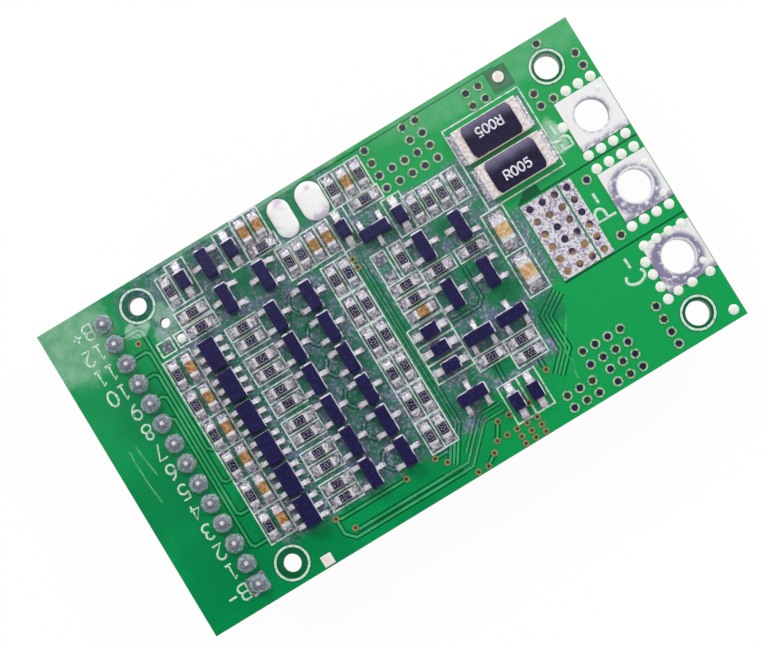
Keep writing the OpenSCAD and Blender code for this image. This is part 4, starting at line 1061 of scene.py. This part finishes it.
@dataclass
class Marks:
    """What is laid on the board in thin lines: printed characters, coat beads and fine tracks."""

    paints: Paintshop
    nodes: dict[str, bpy.types.Object]
    # The legend's ink, and the numbers beside the pins
    ink_mm: float = 0.05
    cells: int = 12
    number_x_mm: float = -22.65
    number_height_mm: float = 1.35
    number_stroke_mm: float = 0.2
    pin_pitch_mm: float = 2.0
    # The terminals' signs: each with its pad, its inset from the pad and its drop below the middle
    signs: tuple[tuple[str, str, float, float], ...] = (
        ("B-", "battery_negative_pad", 1.2, 0.15), ("P-", "pack_negative_pad", 1.14, -0.06),
        ("C-", "charge_negative_pad", 1.75, -1.0))
    sign_height_mm: float = 1.75
    sign_stroke_mm: float = 0.26
    # The values on the chip resistors and on the shunts
    values: tuple[str, ...] = ("103", "102", "104", "472", "105", "473", "221")
    value_height_mm: float = 0.42
    value_stroke_mm: float = 0.06
    value_ink_mm: float = 0.012
    shunt_value: str = "R005"
    shunt_height_mm: float = 0.82
    shunt_stroke_mm: float = 0.17
    shunt_ink_mm: float = 0.015
    shunt_drop_mm: float = 0.38
    # The beads of clear coat
    beads_mm: tuple[tuple[tuple[float, float], ...], ...] = (
        ((13.3, -7.0), (12.95, -7.55), (12.3, -8.5), (11.76, -9.33), (11.52, -10.1), (11.72, -10.7),
         (11.4, -11.6), (11.34, -12.2)),
        ((-24.2, 2.55), (-24.15, 1.6), (-23.98, 0.4), (-23.85, -0.55)),
        ((-24.9, 2.4), (-24.95, 1.2), (-24.9, -0.8), (-24.7, -2.8)))
    bead_stroke_mm: float = 0.16
    bead_proud_mm: float = 0.03
    # The fine tracks, and the dark gaps that show on both their sides
    tracks_mm: tuple[tuple[tuple[float, float], ...], ...] = (
        ((-0.2, -12.66), (2.0, -10.46)),
        ((-2.8, -13.5), (-0.5, -13.5), (2.5, -10.5), (4.45, -10.5)),
        ((-1.2, -14.0), (-0.28, -14.0), (2.52, -11.2), (4.5, -11.2)))
    track_stroke_mm: float = 0.22
    track_proud_mm: float = 0.02
    gap_stroke_mm: float = 0.42
    gap_proud_mm: float = 0.004

    def pin_numbers(self) -> bpy.types.Object:
        """Numbers the cells' pins from the negative end, upside down beside the pin row.

        Returns:
            The printed piece.
        """
        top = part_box("component_lands")[0].z
        marks = ["B-"] + [str(cell) for cell in range(1, self.cells + 1)] + ["B+"]
        ink = Print("pin_numbers", self.number_stroke_mm, self.ink_mm)
        first = -(len(marks) - 1) * self.pin_pitch_mm / 2
        for index, mark in enumerate(marks):
            y = first + index * self.pin_pitch_mm
            size = self.number_height_mm
            shift = (len(mark) - 1) * CELL_STEP * size / 2
            ink.write(mark, Vector(((self.number_x_mm - shift) * MM, y * MM, top)), size, 180)
        return ink.build()

    def terminal_signs(self) -> bpy.types.Object:
        """Signs the battery, pack and charger terminals, turned a quarter beside their pads.

        Returns:
            The printed piece.
        """
        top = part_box("component_lands")[0].z
        ink = Print("terminal_signs", self.sign_stroke_mm, self.ink_mm)
        for mark, node, inset_mm, drop_mm in self.signs:
            low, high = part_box(node)
            centre = Vector((low.x - inset_mm * MM, (low.y + high.y) / 2 - drop_mm * MM, top))
            ink.write(mark, centre, self.sign_height_mm, 90)
        return ink.build()

    def part_values(self) -> bpy.types.Object:
        """Marks the chip resistors with three-digit values, in turn.

        Returns:
            The printed piece.
        """
        ink = Print("resistor_values", self.value_stroke_mm, self.value_ink_mm)
        for index, (low, high) in enumerate(solids_of(self.nodes["resistor_coats"])):
            size = high - low
            turn = 0 if size.x > size.y else 90
            centre = Vector(((low.x + high.x) / 2, (low.y + high.y) / 2, high.z))
            ink.write(self.values[index % len(self.values)], centre, self.value_height_mm, turn)
        return ink.build()

    def shunt_values(self) -> bpy.types.Object:
        """Marks the two current shunts with their resistance, the upper one upside down.

        Returns:
            The printed piece.
        """
        ink = Print("shunt_values", self.shunt_stroke_mm, self.shunt_ink_mm)
        coats = sorted(solids_of(self.nodes["shunt_coats"]), key=lambda corners: corners[0].y)
        for index, (low, high) in enumerate(coats):
            drop = self.shunt_drop_mm * MM * (1 if index else -1)
            centre = Vector(((low.x + high.x) / 2, (low.y + high.y) / 2 + drop, high.z))
            ink.write(self.shunt_value, centre, self.shunt_height_mm, 180 * index)
        return ink.build()

    def lines(
        self,
        name: str,
        stroke_mm: float,
        proud_mm: float,
        paths_mm: tuple[tuple[tuple[float, float], ...], ...],
    ) -> bpy.types.Object:
        """Lays open lines on the mask.

        Args:
            name: The piece's name.
            stroke_mm: The width of a line.
            proud_mm: Its height over the mask.
            paths_mm: The corners of each line, in x and y.

        Returns:
            The piece.
        """
        laid = Print(name, stroke_mm, proud_mm)
        for path_mm in paths_mm:
            laid.trace(path_mm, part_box("copper_pours")[1].z)
        return laid.build()

    def build(self) -> None:
        """Builds every mark and rides it on the board."""
        gaps = self.lines("fine_track_gaps", self.gap_stroke_mm, self.gap_proud_mm, self.tracks_mm)
        tracks = self.lines("fine_tracks", self.track_stroke_mm, self.track_proud_mm, self.tracks_mm)
        for piece, finish, slot in (
                (self.pin_numbers(), Finishes.LEGEND_INK, "legend_ink"),
                (self.terminal_signs(), Finishes.LEGEND_INK, "legend_ink"),
                (self.part_values(), Finishes.VALUE_INK, "legend_ink"),
                (self.shunt_values(), Finishes.WHITE_INK, "legend_ink"),
                (self.lines("coat_beads", self.bead_stroke_mm, self.bead_proud_mm, self.beads_mm),
                 Finishes.CLEAR_COAT, "board_mask"),
                (gaps, Finishes.GAP_MASK, "laminate"), (tracks, Finishes.MASKED_COPPER, "masked_copper")):
            self.paints.dress(piece, finish)
            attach(piece, "root")
            LOG.info("%s is laid on the board", piece.name)


@dataclass(frozen=True)
class Panel:
    """A soft light panel that faces a point of the board."""

    name: str
    place_m: tuple[float, float, float]
    size_m: tuple[float, float]
    power_w: float
    aim_m: tuple[float, float, float] = (0.0, 0.0, 0.006)

    def build(self) -> None:
        """Hangs the panel."""
        lamp = bpy.data.lights.new(self.name, "AREA")
        lamp.shape = "RECTANGLE"
        lamp.size, lamp.size_y = self.size_m
        lamp.energy = self.power_w
        obj = bpy.data.objects.new(self.name, lamp)
        bpy.context.scene.collection.objects.link(obj)
        obj.location = self.place_m
        away = Vector(self.aim_m) - Vector(self.place_m)
        obj.rotation_euler = away.to_track_quat("-Z", "Y").to_euler()


@dataclass
class Studio:
    """A pale floor, soft panels and a sky that is darker overhead, where the camera hangs."""

    floor_size_m: float = 3.0
    floor_colour: str = "#e6e6e6"
    floor_lift: float = 0.95
    floor_shade: float = 0.06
    sky_low: float = 1.0
    sky_high: float = 0.02
    # The steepness at which the sky starts to dim and is dimmest
    sky_dims: tuple[float, float] = (0.5, 0.85)
    # Two panels light the board, and two small ones give the glare on its upper edge and corner
    panels: tuple[Panel, ...] = (
        Panel("key_panel", (-0.1, 0.5, 0.36), (0.3, 0.25), 1.6),
        Panel("side_panel", (0.26, 0.12, 0.2), (0.16, 0.16), 0.35),
        Panel("edge_glare", (0.02, 0.055, 0.316), (0.13, 0.045), 0.03, (0.01, 0.016, 0.006)),
        Panel("corner_glare", (-0.062, 0.05, 0.31), (0.04, 0.05), 0.006, (-0.025, 0.014, 0.006)))

    def floor(self) -> None:
        """Lays the floor, which the camera sees as white with the board's shadow on it."""
        shape = bmesh.new()
        bmesh.ops.create_grid(shape, x_segments=1, y_segments=1, size=self.floor_size_m / 2)
        mesh = bpy.data.meshes.new("floor")
        shape.to_mesh(mesh)
        shape.free()
        floor = bpy.data.objects.new("floor", mesh)
        bpy.context.scene.collection.objects.link(floor)
        material = bpy.data.materials.new("floor_paper")
        material.use_nodes = True
        tree = material.node_tree
        tree.nodes.clear()
        paper = add_node(tree, "BsdfDiffuse", None, {"Color": linear(self.floor_colour)})
        glow = add_node(tree, "Emission", None, {"Color": (1, 1, 1, 1), "Strength": self.floor_lift})
        dim = add_node(tree, "BsdfDiffuse", None, {"Color": (self.floor_shade,) * 3 + (1,)})
        white = add_node(tree, "AddShader", None, {0: glow, 1: dim})
        path = add_node(tree, "LightPath")
        seen = add_node(tree, "Math", {"operation": "MAXIMUM"}, {
            0: path.outputs["Is Camera Ray"], 1: path.outputs["Is Transmission Ray"]})
        shown = add_node(tree, "MixShader", None, {0: seen, 1: paper, 2: white})
        add_node(tree, "OutputMaterial", None, {"Surface": shown})
        floor.data.materials.append(material)

    def sky(self) -> None:
        """Makes the sky, which is bright round the horizon and dim overhead."""
        world = bpy.data.worlds.new("studio_sky")
        bpy.context.scene.world = world
        world.use_nodes = True
        tree = world.node_tree
        tree.nodes.clear()
        up = add_node(tree, "SeparateXYZ", None, {0: add_node(tree, "TexCoord").outputs["Generated"]})
        level = add_node(tree, "MapRange", SMOOTH, {
            "Value": up.outputs[2], "From Min": self.sky_dims[0], "From Max": self.sky_dims[1],
            "To Min": self.sky_low, "To Max": self.sky_high})
        light = add_node(tree, "Background", None, {"Color": (1, 1, 1, 1), "Strength": level})
        seen = add_node(tree, "Background", None, {"Color": (1, 1, 1, 1), "Strength": 1.0})
        camera = add_node(tree, "LightPath").outputs["Is Camera Ray"]
        both = add_node(tree, "MixShader", None, {0: camera, 1: light, 2: seen})
        add_node(tree, "OutputWorld", None, {"Surface": both})

    def build(self) -> None:
        """Builds the studio."""
        self.floor()
        self.sky()
        for panel in self.panels:
            panel.build()
            LOG.info("%s hangs in the studio", panel.name)
        bpy.context.scene.view_settings.view_transform = "Standard"


@dataclass
class Camera:
    """The camera over the board, fitted to the four corners of its top face."""

    target_mm: tuple[float, float, float] = (-0.752, 0.596, 6.4)
    distance_mm: float = 250.0
    azimuth_deg: float = -11.83
    tilt_deg: float = 3.2
    roll_deg: float = -19.46
    focal_px: float = 2907.8
    sensor_mm: float = 36.0
    clip_m: tuple[float, float] = (0.01, 10.0)

    def build(self) -> None:
        """Hangs the camera and makes it the scene's."""
        data = bpy.data.cameras.new("overhead_camera")
        data.sensor_width = self.sensor_mm
        data.lens = self.focal_px * self.sensor_mm / IMAGE_WIDTH_PX
        data.clip_start, data.clip_end = self.clip_m
        camera = bpy.data.objects.new("overhead_camera", data)
        bpy.context.scene.collection.objects.link(camera)
        turn = (Matrix.Rotation(math.radians(self.azimuth_deg), 4, "Z")
                @ Matrix.Rotation(math.radians(self.tilt_deg), 4, "X")
                @ Matrix.Rotation(math.radians(self.roll_deg), 4, "Z"))
        place = Vector(self.target_mm) * MM + turn @ Vector((0, 0, self.distance_mm * MM))
        camera.matrix_world = Matrix.Translation(place) @ turn
        bpy.context.scene.camera = camera


def corners(box: tuple[Vector, Vector]) -> list[list[float]]:
    """Turns a box into plain lists of numbers.

    Args:
        box: Its lowest and highest corner.

    Returns:
        The two corners, each as a list.
    """
    return [list(box[0]), list(box[1])]


def main() -> None:
    """Builds the camera, the finishes, the marks and the studio."""
    logging.basicConfig(level=logging.INFO, format="%(message)s")
    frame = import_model()
    nodes = frame["nodes"]
    Camera().build()
    paints = Paintshop()
    paints.dress_nodes(nodes)
    soften_edges(nodes)
    Marks(paints, nodes).build()
    Studio().build()


if __name__ == "__main__":
    main()
